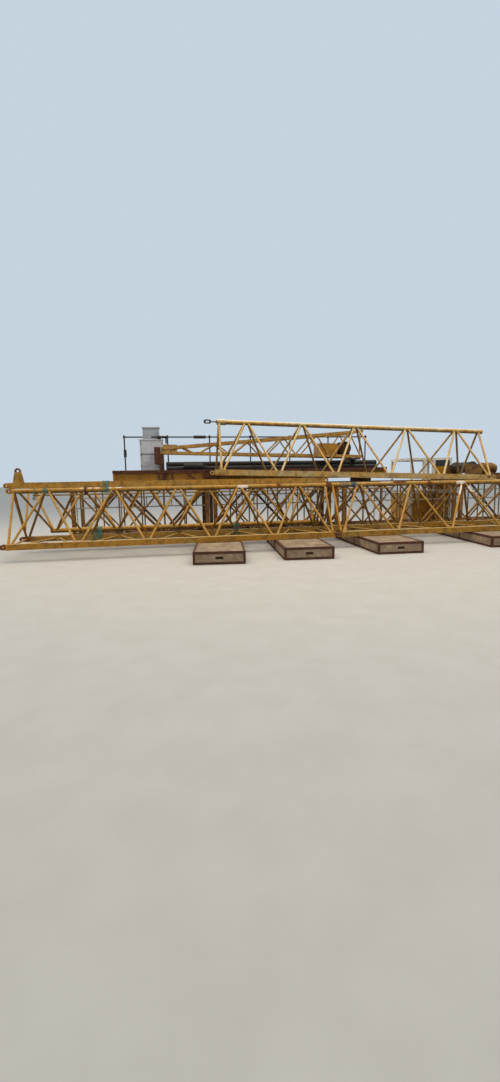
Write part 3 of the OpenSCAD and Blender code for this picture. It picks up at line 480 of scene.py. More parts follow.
# adds a plate with its edges broken: two corners and the width of the chamfer
def addPlate(build, low, high, chamfer=0.0015):
    rows = []
    for z, inset in ((low.z, chamfer), (low.z + chamfer, 0.0), (high.z - chamfer, 0.0), (high.z, chamfer)):
        x0, x1, y0, y1 = low.x + inset, high.x - inset, low.y + inset, high.y - inset
        corners = ((x0 + chamfer, y0), (x1 - chamfer, y0), (x1, y0 + chamfer), (x1, y1 - chamfer),
            (x1 - chamfer, y1), (x0 + chamfer, y1), (x0, y1 - chamfer), (x0, y0 + chamfer))
        rows.append([Vector((x, y, z)) for x, y in corners])
    addSkin(build, rows)


# adds a washer, a hexagon head and the end of the thread; size is the thread's diameter
def addBolt(build, base, axis, size):
    washer = 0.003
    addTurned(build, base, axis, [(-0.001, size * 1.05), (washer, size * 1.05)], 14)
    addTurned(build, base, axis, [(washer, size * 0.87), (washer + size * 0.6, size * 0.87),
        (washer + size * 0.65, size * 0.78)], 6)
    addTurned(build, base, axis, [(washer, size * 0.5), (washer + size * 0.95, size * 0.46)], 8)


# first point along a line where it meets a tube that runs along X
def meetTube(point, along, centreY, centreZ, radius):
    y, z = point.y - centreY, point.z - centreZ
    a = along.y ** 2 + along.z ** 2
    b = 2 * (y * along.y + z * along.z)
    gap = max(b * b - 4 * a * (y * y + z * z - radius * radius), 0.0)
    return point + along * ((-b - math.sqrt(gap)) / (2 * a))


# first point along a line where it meets a square chord that runs along X
def meetBox(point, along, centreY, centreZ, half):
    best = -1e9
    for value, direction, centre in ((point.y, along.y, centreY), (point.z, along.z, centreZ)):
        if abs(direction) > 1e-6:
            best = max(best, min((centre - half - value) / direction, (centre + half - value) / direction))
    return point + along * best


weld = {"bead": 0.0055, "crossBead": 0.0044, "steps": 14, "sides": 5, "crossGap": 0.05}


# bead round the foot and the head of each bracing bar of one jib section, in the section's own
# axes; a head short of tubeStart has none, because the round chord only starts there
def sectionWelds(build, height, place, tubeStart):
    bay, bays, gauge, postIn, zig = (jib[k] for k in ("bay", "bays", "gauge", "postIn", "zig"))
    length, half = bay * bays, jib["box"] / 2
    low, high = half, height - tubeRadius

    # a chord is the way to meet it, the bar's direction to it, its axis in y and z, and its half width
    def addBeads(foot, head, width, bead, chords):
        along = (head - foot).normalized()
        side = squareTo(along)
        around = circle((foot + head) / 2, side, side.cross(along), width / 2, weld["steps"])
        for meet, sign, y, z, reach in chords:
            ring = [place @ meet(p, along * sign, y, z, reach) for p in around]
            addTube(build, ring, bead, weld["sides"], True)

    bars = [(postIn, postIn), (length - postIn, length - postIn)]
    for k in range(bays):
        middle = (k + 0.5) * bay
        bars.append((2 * postIn if k == 0 else k * bay + zig, middle - zig))
        bars.append((length - 2 * postIn if k == bays - 1 else (k + 1) * bay - zig, middle + zig))
    for side in (0, 1):
        footY, headY = side * gauge, gauge / 2 + (jib["aim"] if side else -jib["aim"])
        chords = [(meetBox, -1, footY, low, half), (meetTube, 1, gauge / 2, high, tubeRadius)]
        for footX, headX in bars:
            addBeads(Vector((footX, footY, low)), Vector((headX, headY, high)), jib["brace"],
                weld["bead"], chords if headX > tubeStart else chords[:1])
    for k in range(bays):
        middle, inset = (k + 0.5) * bay, 2 * postIn + weld["crossGap"]
        for x0, y0, x1, y1 in ((k * bay + inset, 0, middle - zig, gauge),
                (middle + zig, gauge, (k + 1) * bay - inset, 0)):
            addBeads(Vector((x0, y0, low)), Vector((x1, y1, low)), jib["cross"], weld["crossBead"],
                [(meetBox, -1, y0, low, half), (meetBox, 1, y1, low, half)])


# where the nested and the upper section lie
nested = {"x": -0.04, "y": 1.68, "z": 1.3756, "tubeStart": 0.52}
upper = {"x": 9.83, "y": 0.58, "z": 1.2706, "tilt": math.atan(0.1253 / 3.91)}
jibLength = jib["bay"] * jib["bays"]
nestedPlace = Matrix.Translation(onStack(nested["x"], nested["y"], nested["z"])) @ Matrix.Rotation(
    math.pi, 4, "X")
upperPlace = Matrix.Translation(onStack(upper["x"], upper["y"], upper["z"])) @ Matrix.Rotation(
    upper["tilt"], 4, "Y") @ Matrix.Translation((-jibLength, 0, 0))
sections = {
    "frontLeft": (jib["height"], Matrix.Translation(onStack(0, 0, rest)), "jib", -1.0),
    "frontRight": (jib["height"], Matrix.Translation(onStack(jib["pitch"], 0, rest)), "jib", -1.0),
    "nested": (jib["nestedHeight"], nestedPlace, "nested", nested["tubeStart"]),
    "upper": (jib["upperHeight"], upperPlace, "upper", -1.0),
}
for name, (height, place, finish, tubeStart) in sections.items():
    build = ([], [])
    sectionWelds(build, height, place, tubeStart)
    finishPiece("weldBeads_" + name, build, finish)
print("weld beads laid on four jib sections")

# joint sleeve left on the open end of the upper round chord
sleeve = {"radius": 0.0505, "inside": 0.0477, "bore": 0.04, "back": 0.06, "stop": 0.002, "out": 0.062,
    "sides": 32}
profile = [(-sleeve["back"], sleeve["inside"]), (-sleeve["back"], sleeve["radius"]),
    (sleeve["out"], sleeve["radius"]), (sleeve["out"], sleeve["bore"]), (sleeve["stop"], sleeve["bore"]),
    (sleeve["stop"], sleeve["inside"])]
build, rows = ([], []), []
for along, radius in profile:
    middle = Vector((jibLength + along, chordY, jib["upperHeight"] - tubeRadius))
    rows.append([upperPlace @ p for p in circle(middle, yAxis, zAxis, radius, sleeve["sides"])])
addSkin(build, rows, closed=True)
finishPiece("upperChordSleeve", build, "upper")

# keeper rings on the joint pins, and a grease nipple on each pin head; half is half a pin's grip
keeper = {"radius": 0.0235, "wire": 0.0038, "out": 0.0032, "head": 0.0069, "boxHalf": 0.0415,
    "tubeHalf": 0.0295}
nipple = [(0, 0.009), (0.006, 0.009), (0.01, 0.005)]
boxZ = rest + jib["box"] / 2
build = ([], [])
for y, z, half in ((0.0, boxZ, keeper["boxHalf"]), (jib["gauge"], boxZ, keeper["boxHalf"]),
        (chordY, chordZ, keeper["tubeHalf"])):
    ring = circle(onStack(jib["pinX"], y - half - keeper["out"], z), xAxis, zAxis, keeper["radius"], 16)
    addTube(build, ring, keeper["wire"], 6, True)
    addTurned(build, onStack(jib["pinX"], y + half + keeper["head"], z), yAxis, nipple, 8)
finishPiece("pinKeepers", build, "zinc")

# finer bracing of the mast sections: second diagonals and panel posts on both upright sides, and
# diagonals above and below; every bar runs into the legs by the lap
finer = {"bar": 0.019, "post": 0.016, "lap": 0.006, "sideGap": 0.05, "levelGap": 0.04}
step = (mast["length"] - mast["leg"]) / mast["bays"]
legIn, lap = mast["leg"] / 2, finer["lap"]
upright = (mast["low"] + mast["leg"] - lap, mast["high"] - mast["leg"] + lap)
level = (mast["front"] + mast["leg"] - lap, mast["front"] + mast["width"] - mast["leg"] + lap)
build = ([], [])
for k in range(mast["count"]):
    start = mast["start"] + k * mast["pitch"] + legIn
    for y in (mast["front"] + legIn, mast["front"] + mast["width"] - legIn):
        for b in range(mast["bays"]):
            x0, x1 = start + b * step, start + (b + 1) * step
            first, last = upright if b % 2 else upright[::-1]
            addBar(build, (x0 + finer["sideGap"], y, first), (x1 - finer["sideGap"], y, last), finer["bar"])
            posts = [(x0 + x1) / 2, x0] if b else [(x0 + x1) / 2]
            for x in posts:
                addBar(build, (x, y, upright[0]), (x, y, upright[1]), finer["post"])
    for z in (mast["low"] + legIn, mast["high"] - legIn):
        for b in range(mast["bays"]):
            x0, x1 = start + b * step + finer["levelGap"], start + (b + 1) * step - finer["levelGap"]
            first, last = level if b % 2 else level[::-1]
            addBar(build, (x0, first, z), (x1, last, z), finer["bar"])
finishPiece("mastFinerBracing", build, "mast")

# joint plates on the ends of the mast legs, four bolts in each
joint = {"length": 0.19, "width": 0.086, "thick": 0.012, "inset": 0.012, "edge": 0.007, "bolt": 0.018,
    "boltsAt": ((0.03, 0.028), (0.075, 0.058), (0.12, 0.028), (0.165, 0.058))}
plates, bolts = ([], []), ([], [])
for k in range(mast["count"]):
    start = mast["start"] + k * mast["pitch"]
    for x in (start + joint["inset"], start + mast["length"] - joint["length"] - joint["inset"]):
        for y, outward in ((mast["front"] - joint["thick"], -yAxis), (mast["front"] + mast["width"], yAxis)):
            face = y if outward.y < 0 else y + joint["thick"]
            for z in (mast["low"] + joint["edge"], mast["high"] - mast["leg"] + joint["edge"]):
                addPlate(plates, onStack(x, y, z),
                    onStack(x + joint["length"], y + joint["thick"], z + joint["width"]), 0.003)
                for dx, dz in joint["boltsAt"]:
                    addBolt(bolts, onStack(x + dx, face, z + dz), outward, joint["bolt"])
finishPiece("mastJointPlates", plates, "mast")
finishPiece("mastBolts", bolts, "zinc")

# ladders inside the mast sections: two flat stringers, round rungs, brackets to the cross bars
ladder = {"y": 2.12, "low": 0.79, "high": 1.01, "rungs": 10, "firstRung": 0.16, "rungStep": 0.28,
    "rod": 0.011, "thick": 0.024, "wide": 0.04, "inset": 0.02, "bracket": 0.012, "bracketOut": 0.018,
    "bracketIn": 0.05}
build = ([], [])
for k in range(mast["count"]):
    start, y = mast["start"] + k * mast["pitch"], ladder["y"]
    for z in (ladder["low"], ladder["high"]):
        addPlate(build,
            onStack(start + ladder["inset"], y - ladder["wide"] / 2, z - ladder["thick"] / 2),
            onStack(start + mast["length"] - ladder["inset"], y + ladder["wide"] / 2, z + ladder["thick"] / 2))
    for r in range(ladder["rungs"]):
        x = start + ladder["firstRung"] + r * ladder["rungStep"]
        addBar(build, (x, y, ladder["low"]), (x, y, ladder["high"]), ladder["rod"])
    for b in range(mast["bays"] + 1):
        x, behind = start + legIn + b * step, y + ladder["bracketOut"]
        addBar(build, (x, behind, mast["low"] + ladder["bracketIn"]),
            (x, behind, mast["high"] - ladder["bracketIn"]), ladder["bracket"])
finishPiece("mastLadders", build, "galvanised")
print("mast sections detailed")

# rope lashings round the chords: tight turns side by side, tied with a knot; the box chord that
# lies on the round one is passed at boxFront, boxRear and boxOver
lash = {"rope": 0.0065, "gap": 0.017, "slant": 0.0136, "boxFront": 0.521, "boxRear": 0.639,
    "boxOver": 0.112, "corner": 0.007, "knotY": 0.488}
knotSize = {"points": 26, "step": 0.9, "wide": 0.024, "deep": 0.008, "high": 0.026, "out": 0.012,
    "twist": 1.7}


def tieKnot(build, x, y, z):
    knot = []
    for k in range(knotSize["points"]):
        turn = k * knotSize["step"]
        depth = knotSize["out"] + knotSize["deep"] * math.cos(turn * knotSize["twist"])
        knot.append(onStack(x + knotSize["wide"] * math.sin(turn), y - depth,
            z + knotSize["high"] * math.cos(turn)))
    addTube(build, knot, lash["rope"], 7)


# turns of rope round a loop of y and z pairs, and the knot in front of it
def addLashing(build, x, loop, turns, knotY, knotZ):
    for t in range(turns):
        shift = x + (t - turns / 2) * lash["gap"]
        points = [onStack(shift + lash["slant"] * math.sin(fullTurn * k / len(loop) + t), y, z)
            for k, (y, z) in enumerate(loop)]
        addTube(build, points, lash["rope"], 7, True)
    tieKnot(build, x, knotY, knotZ)


# y and z pairs of an arc round an axis along X, from one angle to another
def arc(y, z, radius, first, last, steps):
    turns = [first + (last - first) * s / steps for s in range(steps + 1)]
    return [(y + math.cos(turn) * radius, z + math.sin(turn) * radius) for turn in turns]


press = lash["rope"] * 0.9  # a rope's radius, pressed a little into what it goes round
grip = tubeRadius + press
front, rear, over, corner = lash["boxFront"], lash["boxRear"], topZ + lash["boxOver"], lash["corner"]
bothChords = arc(chordY, chordZ, grip, math.pi, fullTurn, 12) + [(0.612, topZ - 0.02),
    (rear, topZ + 0.006), (rear, over - 0.008), (rear - corner, over), (front + corner, over),
    (front, over - 0.008), (front, topZ + 0.006), (0.508, topZ - 0.012)]
# round the round chord alone, pressed flat under the box chord
tubeAlone = [(y, min(z, topZ - lash["rope"])) for y, z in arc(chordY, chordZ, grip, 0, fullTurn, 24)[:-1]]
# round the nested tube and down round the rear chord below it
tubeY, tubeZ, chordTop = 1.13, 0.4184, rest + jib["box"]
front, rear = jib["gauge"] - jib["box"] / 2 - press, jib["gauge"] + jib["box"] / 2 + press
tubeAndChord = arc(tubeY, tubeZ, grip, 0, math.pi, 10) + [(front + 0.004, chordTop),
    (front, chordTop - 0.008), (front, rest + 0.006), (front + 0.008, rest - 0.006),
    (rear - 0.008, rest - 0.006), (rear, rest + 0.006), (rear, chordTop - 0.008), (rear - 0.003, chordTop)]
build = ([], [])
addLashing(build, 0.58, tubeAlone, 5, lash["knotY"], topZ - 0.06)
addLashing(build, 1.675, bothChords, 7, lash["knotY"], topZ - 0.055)
addLashing(build, 1.4, tubeAndChord, 9, tubeY - 0.062, tubeZ - 0.03)
addLashing(build, 4.21, tubeAndChord, 6, tubeY - 0.062, tubeZ)
finishPiece("ropeLashings", build, "rope")


# rope that hangs free along the given path
def hangRope(name, path):
    build = ([], [])
    addTube(build, path, lash["rope"], 10)
    piece = finishPiece(name, build, "rope")


# loose ends: out of the knot, then down under their own weight; each has its start on the stack,
# its length and its lean to the right
looseEnd = {"out": 0.032, "steps": 16, "droop": 1.3, "startY": 0.484}
for name, x, y, z, length, lean in (
        ("ropeEndLeft", 0.6, looseEnd["startY"], topZ - 0.07, 0.08, 0.03),
        ("ropeEndMiddle", 1.7, looseEnd["startY"], topZ - 0.07, 0.09, 0.04),
        ("ropeEndBelow", 1.43, tubeY - 0.066, tubeZ - 0.035, 0.1, 0.03)):
    path = []
    for k in range(looseEnd["steps"] + 1):
        t = k / looseEnd["steps"]
        path.append(onStack(x + lean * t, y - looseEnd["out"] * math.sin(min(t, 0.5) * math.pi),
            z - length * t ** looseEnd["droop"]))
    hangRope(name, path)

# slack loop over the round chord, both ends pinched under the box chord, with a knot at the bottom
slack = {"x": 0.4, "sag": 0.15, "lean": -0.03}
pinch, drop = math.asin((tubeRadius - lash["rope"]) / grip), slack["sag"] - grip
line = arc(chordY, chordZ, grip, math.pi - pinch, math.pi, 5)
line += [(chordY - grip, chordZ - drop * k / 3) for k in (1, 2)]
line += arc(chordY, chordZ - drop, grip, math.pi, fullTurn, 12)
line += [(chordY + grip, chordZ - drop * k / 3) for k in (2, 1)]
line += arc(chordY, chordZ, grip, 0, pinch, 5)
path = [onStack(slack["x"] + slack["lean"] * math.sin(math.pi * k / (len(line) - 1)), y, z)
    for k, (y, z) in enumerate(line)]
build = ([], [])
tieKnot(build, slack["x"] + slack["lean"], chordY, chordZ - slack["sag"])
knot = finishPiece("ropeLoopKnot", build, "rope")
hangRope("ropeSlackLoop", path)

# plastic tape wound round the top chord: dense on the right, open turns on the left
tape = {"start": 6.53, "end": 6.66, "rows": 40, "sides": 36, "width": 0.016, "openRows": 3, "slant": 0.02,
    "open": (6.3, 6.345, 6.385, 6.42, 6.455, 6.487), "edge": 0.0006, "thick": 0.002, "fold": 0.003,
    "uneven": 0.0012}
build = ([], [])
bands = [(tape["start"], tape["end"], tape["rows"], 0.0)]
bands += [(x, x + tape["width"], tape["openRows"], tape["slant"]) for x in tape["open"]]
for first, last, count, slant in bands:
    rows = []
    for k in range(count + 1):
        row = []
        for s in range(tape["sides"]):
            turn = fullTurn * s / tape["sides"]
            wave = abs(math.sin(k * 0.55 + 1.3 * math.sin(turn * 2)))
            fold = tape["thick"] + tape["fold"] * wave + tape["uneven"] * dice.random()
            radius = tubeRadius + (tape["edge"] if k in (0, count) else fold)
            x = first + (last - first) * k / count + slant * math.cos(turn)
            row.append(onStack(x, chordY + math.cos(turn) * radius, chordZ + math.sin(turn) * radius))
        rows.append(row)
    addSkin(build, rows, capped=False)
finishPiece("chordTape", build, "tape")

# strap clamp that holds the tie bar to the round chord: three strands, a block and a bolt
clamp = {"x": 1.29, "strand": 0.0055, "strandOut": 0.004, "gap": 0.012, "half": 0.03, "front": 0.505,
    "back": 0.595, "drop": 0.085, "top": 0.098, "bolt": 0.014, "boltDown": 0.115}
build = ([], [])
loop = arc(chordY, chordZ, tubeRadius + clamp["strandOut"], 0, fullTurn, 24)[:-1]
for shift in (-clamp["gap"], 0.0, clamp["gap"]):
    addTube(build, [onStack(clamp["x"] + shift, y, z) for y, z in loop], clamp["strand"], 6, True)
addPlate(build, onStack(clamp["x"] - clamp["half"], clamp["front"], chordZ - clamp["drop"]),
    onStack(clamp["x"] + clamp["half"], clamp["back"], topZ - clamp["top"]), 0.004)
addBolt(build, onStack(clamp["x"], clamp["front"] + 0.001, topZ - clamp["boltDown"]), -yAxis, clamp["bolt"])
finishPiece("tieBarClamp", build, "pin")
print("lashings and tape wound")

# steel bars cast across the front pockets of the ballast blocks, and their washers; a block is
# given by x and y of its left front corner and its turn in degrees
blocks = ((3.159, -1.1156, -6.5), (4.702, -1.0842, -4.9), (6.449, -0.9714, -2.1), (8.843, -0.7936, -6.5))
pocketBar = {"radius": 0.011, "half": 0.068, "z": 0.1075, "in": 0.4325, "deep": 0.028, "washerAt": 0.052}
build = ([], [])
for x, y, angle in blocks:
    turn = math.radians(angle)
    along = Vector((math.cos(turn), math.sin(turn), 0))
    inward = Vector((-math.sin(turn), math.cos(turn), 0))
    middle = onStack(x, y, pocketBar["z"]) + along * pocketBar["in"] + inward * pocketBar["deep"]
    addTube(build, [middle - along * pocketBar["half"], middle + along * pocketBar["half"]],
        pocketBar["radius"], 10)
    for sign in (-1, 1):
        base = middle + along * sign * pocketBar["washerAt"]
        addTurned(build, base, along, [(-0.005, 0.02), (0.005, 0.02)], 14)
finishPiece("ballastPocketBars", build, "pin")

# fastening bolts along both edges of the deck
deckLow, deckHigh = (Vector(c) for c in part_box("counter_jib_deck"))
deckLong = deckHigh.x - deckLow.x
deckBolt = {"count": 16, "end": 0.12, "edge": 0.055, "up": 0.012, "size": 0.012}
build = ([], [])
for k in range(deckBolt["count"]):
    x = deckLow.x + deckBolt["end"] + k * (deckLong - 2 * deckBolt["end"]) / (deckBolt["count"] - 1)
    for y in (deckLow.y + deckBolt["edge"], deckHigh.y - deckBolt["edge"]):
        addBolt(build, Vector((x, y, deckLow.z + deckBolt["up"])), zAxis, deckBolt["size"])

# toe board bolted to the front edge of the deck, in three lengths
toe = {"thick": 0.0034, "high": 0.069, "lengths": 3, "gap": 0.006, "off": 0.0003, "chamfer": 0.0008,
    "bolts": 12, "first": 0.15, "step": 0.5, "down": 0.017, "bolt": 0.01}
board, part = ([], []), deckLong / toe["lengths"]
back = deckLow.y - toe["off"]
front = back - toe["thick"]
for k in range(toe["lengths"]):
    left, right = deckLow.x + k * part + toe["gap"] / 2, deckLow.x + (k + 1) * part - toe["gap"] / 2
    addPlate(board, Vector((left, front, deckHigh.z - toe["high"])), Vector((right, back, deckHigh.z)),
        toe["chamfer"])
finishPiece("deckToeBoard", board, "angle")
for k in range(toe["bolts"]):
    x = deckLow.x + toe["first"] + k * toe["step"]
    addBolt(build, Vector((x, front, deckHigh.z - toe["down"])), -yAxis, toe["bolt"])
finishPiece("deckBolts", build, "zinc")

# louvres in the two doors of the control cabinet, folded out of the sheet
cabinetLow, cabinetHigh = (Vector(c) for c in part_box("control_cabinet"))
louvre = {"count": 7, "gap": 0.022, "width": 0.15, "depth": 0.008, "lip": 0.004, "high": 0.016,
    "start": 0.12, "doors": (0.06, 0.305), "doorFace": 0.022}
front = cabinetLow.y + louvre["doorFace"]
out = front - louvre["depth"]
build = ([], [])
for door in louvre["doors"]:
    left, right = cabinetLow.x + door, cabinetLow.x + door + louvre["width"]
    for k in range(louvre["count"]):
        z, first = cabinetLow.z + louvre["start"] + k * louvre["gap"], len(build[0])
        lip, top = z + louvre["lip"], z + louvre["high"]
        build[0].extend([(left, front, z), (right, front, z), (right, out, lip), (left, out, lip),
            (right, front, top), (left, front, top)])
        build[1].extend(tuple(first + s for s in face) for face in (
            (0, 1, 2, 3), (3, 2, 4, 5), (0, 3, 5), (1, 4, 2), (0, 5, 4, 1)))
finishPiece("cabinetLouvres", build, "cabinet", smooth=False)

# four cable glands and a round plug socket on the resistor box
boxLow, boxHigh = (Vector(c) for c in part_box("resistor_box"))
gland = {"count": 4, "gap": 0.042, "side": 0.05, "in": 0.018, "up": 0.05,
    "profile": [(0, 0.017), (0.012, 0.017), (0.013, 0.013), (0.035, 0.013), (0.04, 0.008)]}
plug = {"side": 0.02, "in": 0.02, "up": 0.03,
    "profile": [(0, 0.05), (0.02, 0.05), (0.03, 0.042), (0.055, 0.036), (0.06, 0.02)]}
build = ([], [])
for k in range(gland["count"]):
    x = boxHigh.x - gland["side"] - k * gland["gap"]
    addTurned(build, Vector((x, boxLow.y + gland["in"], boxLow.z + gland["up"])), -yAxis,
        gland["profile"], 12)
addTurned(build, Vector((boxHigh.x - plug["side"], boxLow.y + plug["in"], boxLow.z + plug["up"])), -yAxis,
    plug["profile"], 18)
finishPiece("cabinetGlands", build, "dark")

# hinges of the cabinet's doors, and the seam between its lower and its upper half
hinge = {"radius": 0.008, "length": 0.06, "heights": (0.1, 0.36, 0.62), "in": 0.03, "face": 0.018}
build = ([], [])
for up in hinge["heights"]:
    for x in (cabinetLow.x + hinge["in"], cabinetHigh.x - hinge["in"]):
        addTurned(build, Vector((x, cabinetLow.y + hinge["face"], cabinetLow.z + up)), zAxis,
            [(0, hinge["radius"]), (hinge["length"], hinge["radius"])], 10)
finishPiece("cabinetHinges", build, "zinc")
seam = {"z": 1.977, "half": 0.007, "in": 0.03, "front": 0.0125, "back": 0.0205, "chamfer": 0.001}
build = ([], [])
addPlate(build,
    Vector((cabinetLow.x + seam["in"], cabinetLow.y + seam["front"], seam["z"] - seam["half"])),
    Vector((cabinetHigh.x - seam["in"], cabinetLow.y + seam["back"], seam["z"] + seam["half"])),
    seam["chamfer"])
finishPiece("cabinetSeam", build, "dark")
print("cabinets finished")


# adds wire rope wound on a drum that turns about Y, turn beside turn from the middle of the first
def addCoils(build, middle, coil):
    for k in range(coil["turns"]):
        ring = circle(middle + yAxis * k * coil["pitch"], xAxis, zAxis, coil["radius"], 24)
        addTube(build, ring, coil["wire"], 6, True)


# small rope drum with its rope, carried on two plates between the lower chords of the tower head
headDrum = {"x": 6.98, "y": 2.148, "z": 2.06, "half": 0.15, "flange": 0.155, "flangeThick": 0.012,
    "barrel": 0.09, "axle": 0.03, "axleOut": 0.1, "plateOut": 0.07, "plateHalfX": 0.09,
    "plateHalfY": 0.012, "plateDown": 0.2, "plateUp": 0.05}
headCoil = {"turns": 14, "pitch": 0.0192, "radius": 0.1, "wire": 0.0098, "first": 0.026}
centre, half = onStack(headDrum["x"], headDrum["y"], headDrum["z"]), headDrum["half"]
axle, flange, barrel = headDrum["axle"], headDrum["flange"], headDrum["barrel"]
inner, thick = headDrum["axleOut"], headDrum["flangeThick"]
outer = inner + 2 * half
build = ([], [])
addTurned(build, centre - yAxis * (half + inner), yAxis, [(0, axle), (inner, axle), (inner, flange),
    (inner + thick, flange), (inner + thick, barrel), (outer - thick, barrel), (outer - thick, flange),
    (outer, flange), (outer, axle), (outer + inner, axle)], 28)
halfX, halfY = headDrum["plateHalfX"], headDrum["plateHalfY"]
for side in (-1, 1):
    y = centre.y + side * (half + headDrum["plateOut"])
    addPlate(build, Vector((centre.x - halfX, y - halfY, centre.z - headDrum["plateDown"])),
        Vector((centre.x + halfX, y + halfY, centre.z + headDrum["plateUp"])), 0.004)
finishPiece("headDrum", build, "pin")
build = ([], [])
addCoils(build, centre + yAxis * (headCoil["first"] - half), headCoil)
finishPiece("headDrumRope", build, "wire")

# rope wound on the winch drum, and the bolts of the motor's feet and of the drum's bearing
drumLow, drumHigh = (Vector(c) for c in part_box("winch_drum"))
motorLow, motorHigh = (Vector(c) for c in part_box("winch_motor"))
winchCoil = {"turns": 33, "pitch": 0.0196, "radius": 0.1285, "wire": 0.0099, "first": 0.116}
winchBolt = {"foot": 0.016, "footX": (0.095, 0.355), "footIn": 0.05, "footUp": 0.05, "bearing": 0.01,
    "bearingBolts": 8, "bearingRadius": 0.055, "bearingY": 0.0895}
drumEnd = Vector(((drumLow.x + drumHigh.x) / 2, drumLow.y, (drumLow.z + drumHigh.z) / 2))
build = ([], [])
addCoils(build, drumEnd + yAxis * winchCoil["first"], winchCoil)
finishPiece("winchRope", build, "wire")
build = ([], [])
for dx in winchBolt["footX"]:
    for y in (motorLow.y + winchBolt["footIn"], motorHigh.y - winchBolt["footIn"]):
        addBolt(build, Vector((motorLow.x + dx, y, motorLow.z + winchBolt["footUp"])), zAxis,
            winchBolt["foot"])
for point in circle(drumEnd + yAxis * winchBolt["bearingY"], xAxis, zAxis, winchBolt["bearingRadius"],
        winchBolt["bearingBolts"]):
    addBolt(build, point, -yAxis, winchBolt["bearing"])
finishPiece("winchBolts", build, "zinc")
print("winch and drum roped")

# dusty pane in the cab's right window, in a rubber strip; its near-black colour is painted shade
cabLow = Vector(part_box("cab_frame")[0])
pane = {"left": 0.712, "right": 1.139, "low": 1.627, "high": 1.784, "front": 0.027, "back": 0.033}
strip = {"in": 0.006, "front": 0.024, "radius": 0.008}
build = ([], [])
addPlate(build, Vector((cabLow.x + pane["left"], cabLow.y + pane["front"], pane["low"])),
    Vector((cabLow.x + pane["right"], cabLow.y + pane["back"], pane["high"])))
finishPiece("cabPane", build, "glass")
left, right = cabLow.x + pane["left"] + strip["in"], cabLow.x + pane["right"] - strip["in"]
low, high = pane["low"] + strip["in"], pane["high"] - strip["in"]
build = ([], [])
addTube(build, [Vector((x, cabLow.y + strip["front"], z))
    for x, z in ((left, low), (right, low), (right, high), (left, high))], strip["radius"], 8, True)
finishPiece("cabPaneStrip", build, "dark")

# rounded rims on both ends of the seven stored pipes, and a ring painted on one
pipesLow, pipesHigh = (Vector(c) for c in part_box("stored_pipes"))
pipe = {"radius": 0.055, "pitch": 0.1103, "rows": (4, 3), "rim": 0.0495, "bead": 0.0042, "in": 0.007}
paintRing = {"x": 4.7, "length": 0.09, "radius": 0.0502, "edge": 0.002}
firstPipe = Vector((pipesLow.x, pipesLow.y + pipe["radius"], pipesLow.z + pipe["radius"]))
build = ([], [])
for row, count in enumerate(pipe["rows"]):
    z = firstPipe.z + row * pipe["pitch"] * math.cos(math.radians(30))
    for k in range(count):
        y = firstPipe.y + (k + row / 2) * pipe["pitch"]
        for x in (pipesLow.x + pipe["in"], pipesHigh.x - pipe["in"]):
            addTube(build, circle(Vector((x, y, z)), yAxis, zAxis, pipe["rim"], 20), pipe["bead"], 6, True)
finishPiece("pipeEndBeads", build, "dark")
build = ([], [])
addTurned(build, Vector((onStack(paintRing["x"], 0, 0).x, firstPipe.y, firstPipe.z)), xAxis,
    [(0, pipe["rim"]), (paintRing["edge"], paintRing["radius"]),
        (paintRing["length"] - paintRing["edge"], paintRing["radius"]), (paintRing["length"], pipe["rim"])], 28)
finishPiece("pipePaintRing", build, "white")

# clamp bolts of the guard rail: two through each post's head, two in its foot
railLow, railHigh = (Vector(c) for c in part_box("guard_rail"))
rail = {"posts": 7, "first": 0.05, "step": 1.0, "headX": 0.014, "headIn": 0.002, "headDown": 0.04,
    "headHalf": 0.012, "headBolt": 0.008, "footHalf": 0.036, "footIn": 0.012, "footUp": 0.008, "footBolt": 0.01}
build = ([], [])
for k in range(rail["posts"]):
    x = railLow.x + rail["first"] + k * rail["step"]
    for sign in (-1, 1):
        z = railHigh.z - rail["headDown"] + sign * rail["headHalf"]
        addBolt(build, Vector((x + rail["headX"], railLow.y + rail["headIn"], z)), -yAxis, rail["headBolt"])
    for sign in (-1, 1):
        base = Vector((x + sign * rail["footHalf"], railLow.y + rail["footIn"], railLow.z + rail["footUp"]))
        addBolt(build, base, zAxis, rail["footBolt"])
finishPiece("railBolts", build, "zinc")
print("rail, pipes and cab finished")

# pale matt floor
ground = {"half": 90, "near": -60, "far": 120, "colour": "c3bbb0", "speckle": "beb6aa"}
floorMaterial, tree, shader, place = startMaterial("paleMattFloor", 0.9)
speckle = noiseMask(tree, place, 3.0, 0.3, 0.7)
tree.links.new(layOver(tree, ground["colour"], ground["speckle"], speckle), shader.inputs["Base Color"])
floorMesh = bpy.data.meshes.new("floor")
floorMesh.from_pydata([(-ground["half"], ground["near"], 0), (ground["half"], ground["near"], 0),
    (ground["half"], ground["far"], 0), (-ground["half"], ground["far"], 0)], [], [(0, 1, 2, 3)])
floor = bpy.data.objects.new("floor", floorMesh)
bpy.context.scene.collection.objects.link(floor)
floorMesh.materials.append(floorMaterial)

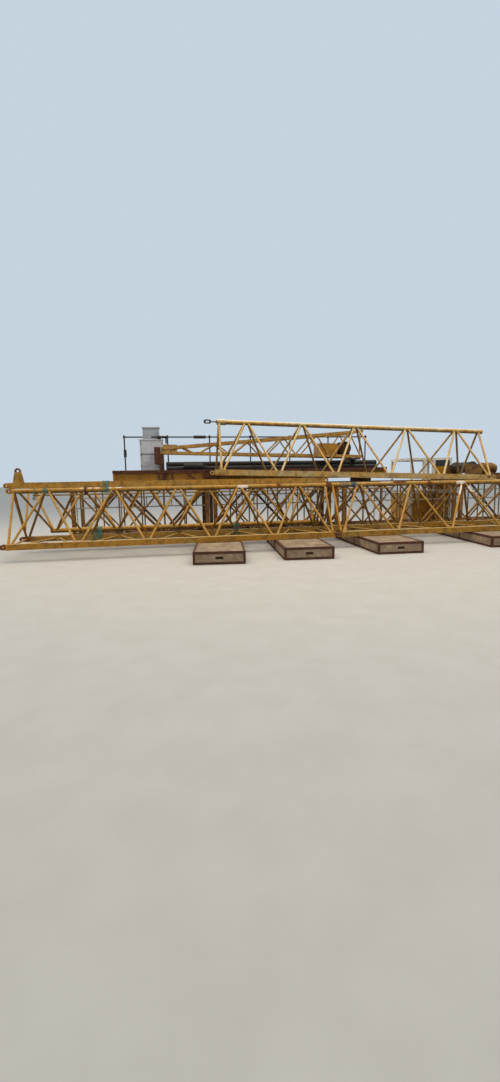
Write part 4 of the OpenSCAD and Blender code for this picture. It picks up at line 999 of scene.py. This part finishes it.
# cool sky and three warm softboxes, each with its power, its size, its place and where it points
sky = {"colour": "cddbe8", "strength": 0.92}
warm = (1.0, 0.9, 0.74)
softboxes = {"softboxTop": (900.0, (16.0, 9.0), (-1.0, -1.5, 9.0), (0.0, 0.5, 0.5)),
    "softboxFront": (110.0, (10.0, 5.0), (-5.0, -13.0, 6.0), (-1.0, 0.0, 0.8)),
    "softboxLeft": (120.0, (6.0, 5.0), (-13.0, -2.0, 5.0), (0.0, 0.0, 0.8))}
world = bpy.data.worlds.new("studio")
bpy.context.scene.world = world
world.use_nodes = True
background = world.node_tree.nodes["Background"]
background.inputs[0].default_value = toLinear(sky["colour"])
background.inputs[1].default_value = sky["strength"]
for name, (power, size, place, aim) in softboxes.items():
    lamp = bpy.data.lights.new(name, "AREA")
    lamp.energy = power
    lamp.color = warm
    lamp.shape = "RECTANGLE"
    lamp.size, lamp.size_y = size
    holder = bpy.data.objects.new(name, lamp)
    bpy.context.scene.collection.objects.link(holder)
    holder.location = place
    holder.rotation_euler = (Vector(aim) - Vector(place)).to_track_quat("-Z", "Y").to_euler()

# camera: angles in degrees, lens and sensor in millimetres
view = {"place": (-3.5169, -9.9206, 1.3952), "yaw": 9.975, "pitch": 7.861, "roll": -0.963, "lens": 15.224,
    "sensor": 36.0, "reach": 300.0}
yaw, pitch, roll = (math.radians(view[k]) for k in ("yaw", "pitch", "roll"))
ahead = Vector((math.sin(yaw), math.cos(yaw), 0))
right = Vector((math.cos(yaw), -math.sin(yaw), 0))
lookAt = ahead * math.cos(pitch) - zAxis * math.sin(pitch)
upward = ahead * math.sin(pitch) + zAxis * math.cos(pitch)
cameraX = right * math.cos(roll) + upward * math.sin(roll)
cameraY = -right * math.sin(roll) + upward * math.cos(roll)
lens = bpy.data.cameras.new("camera")
lens.sensor_fit = "VERTICAL"
lens.sensor_height = view["sensor"]
lens.lens = view["lens"]
lens.clip_end = view["reach"]
camera = bpy.data.objects.new("camera", lens)
bpy.context.scene.collection.objects.link(camera)
turned = Matrix((cameraX, cameraY, -lookAt)).transposed().to_4x4()
camera.matrix_world = Matrix.Translation(view["place"]) @ turned
bpy.context.scene.camera = camera
bpy.context.scene.view_settings.view_transform = "Standard"
print("light and camera set")
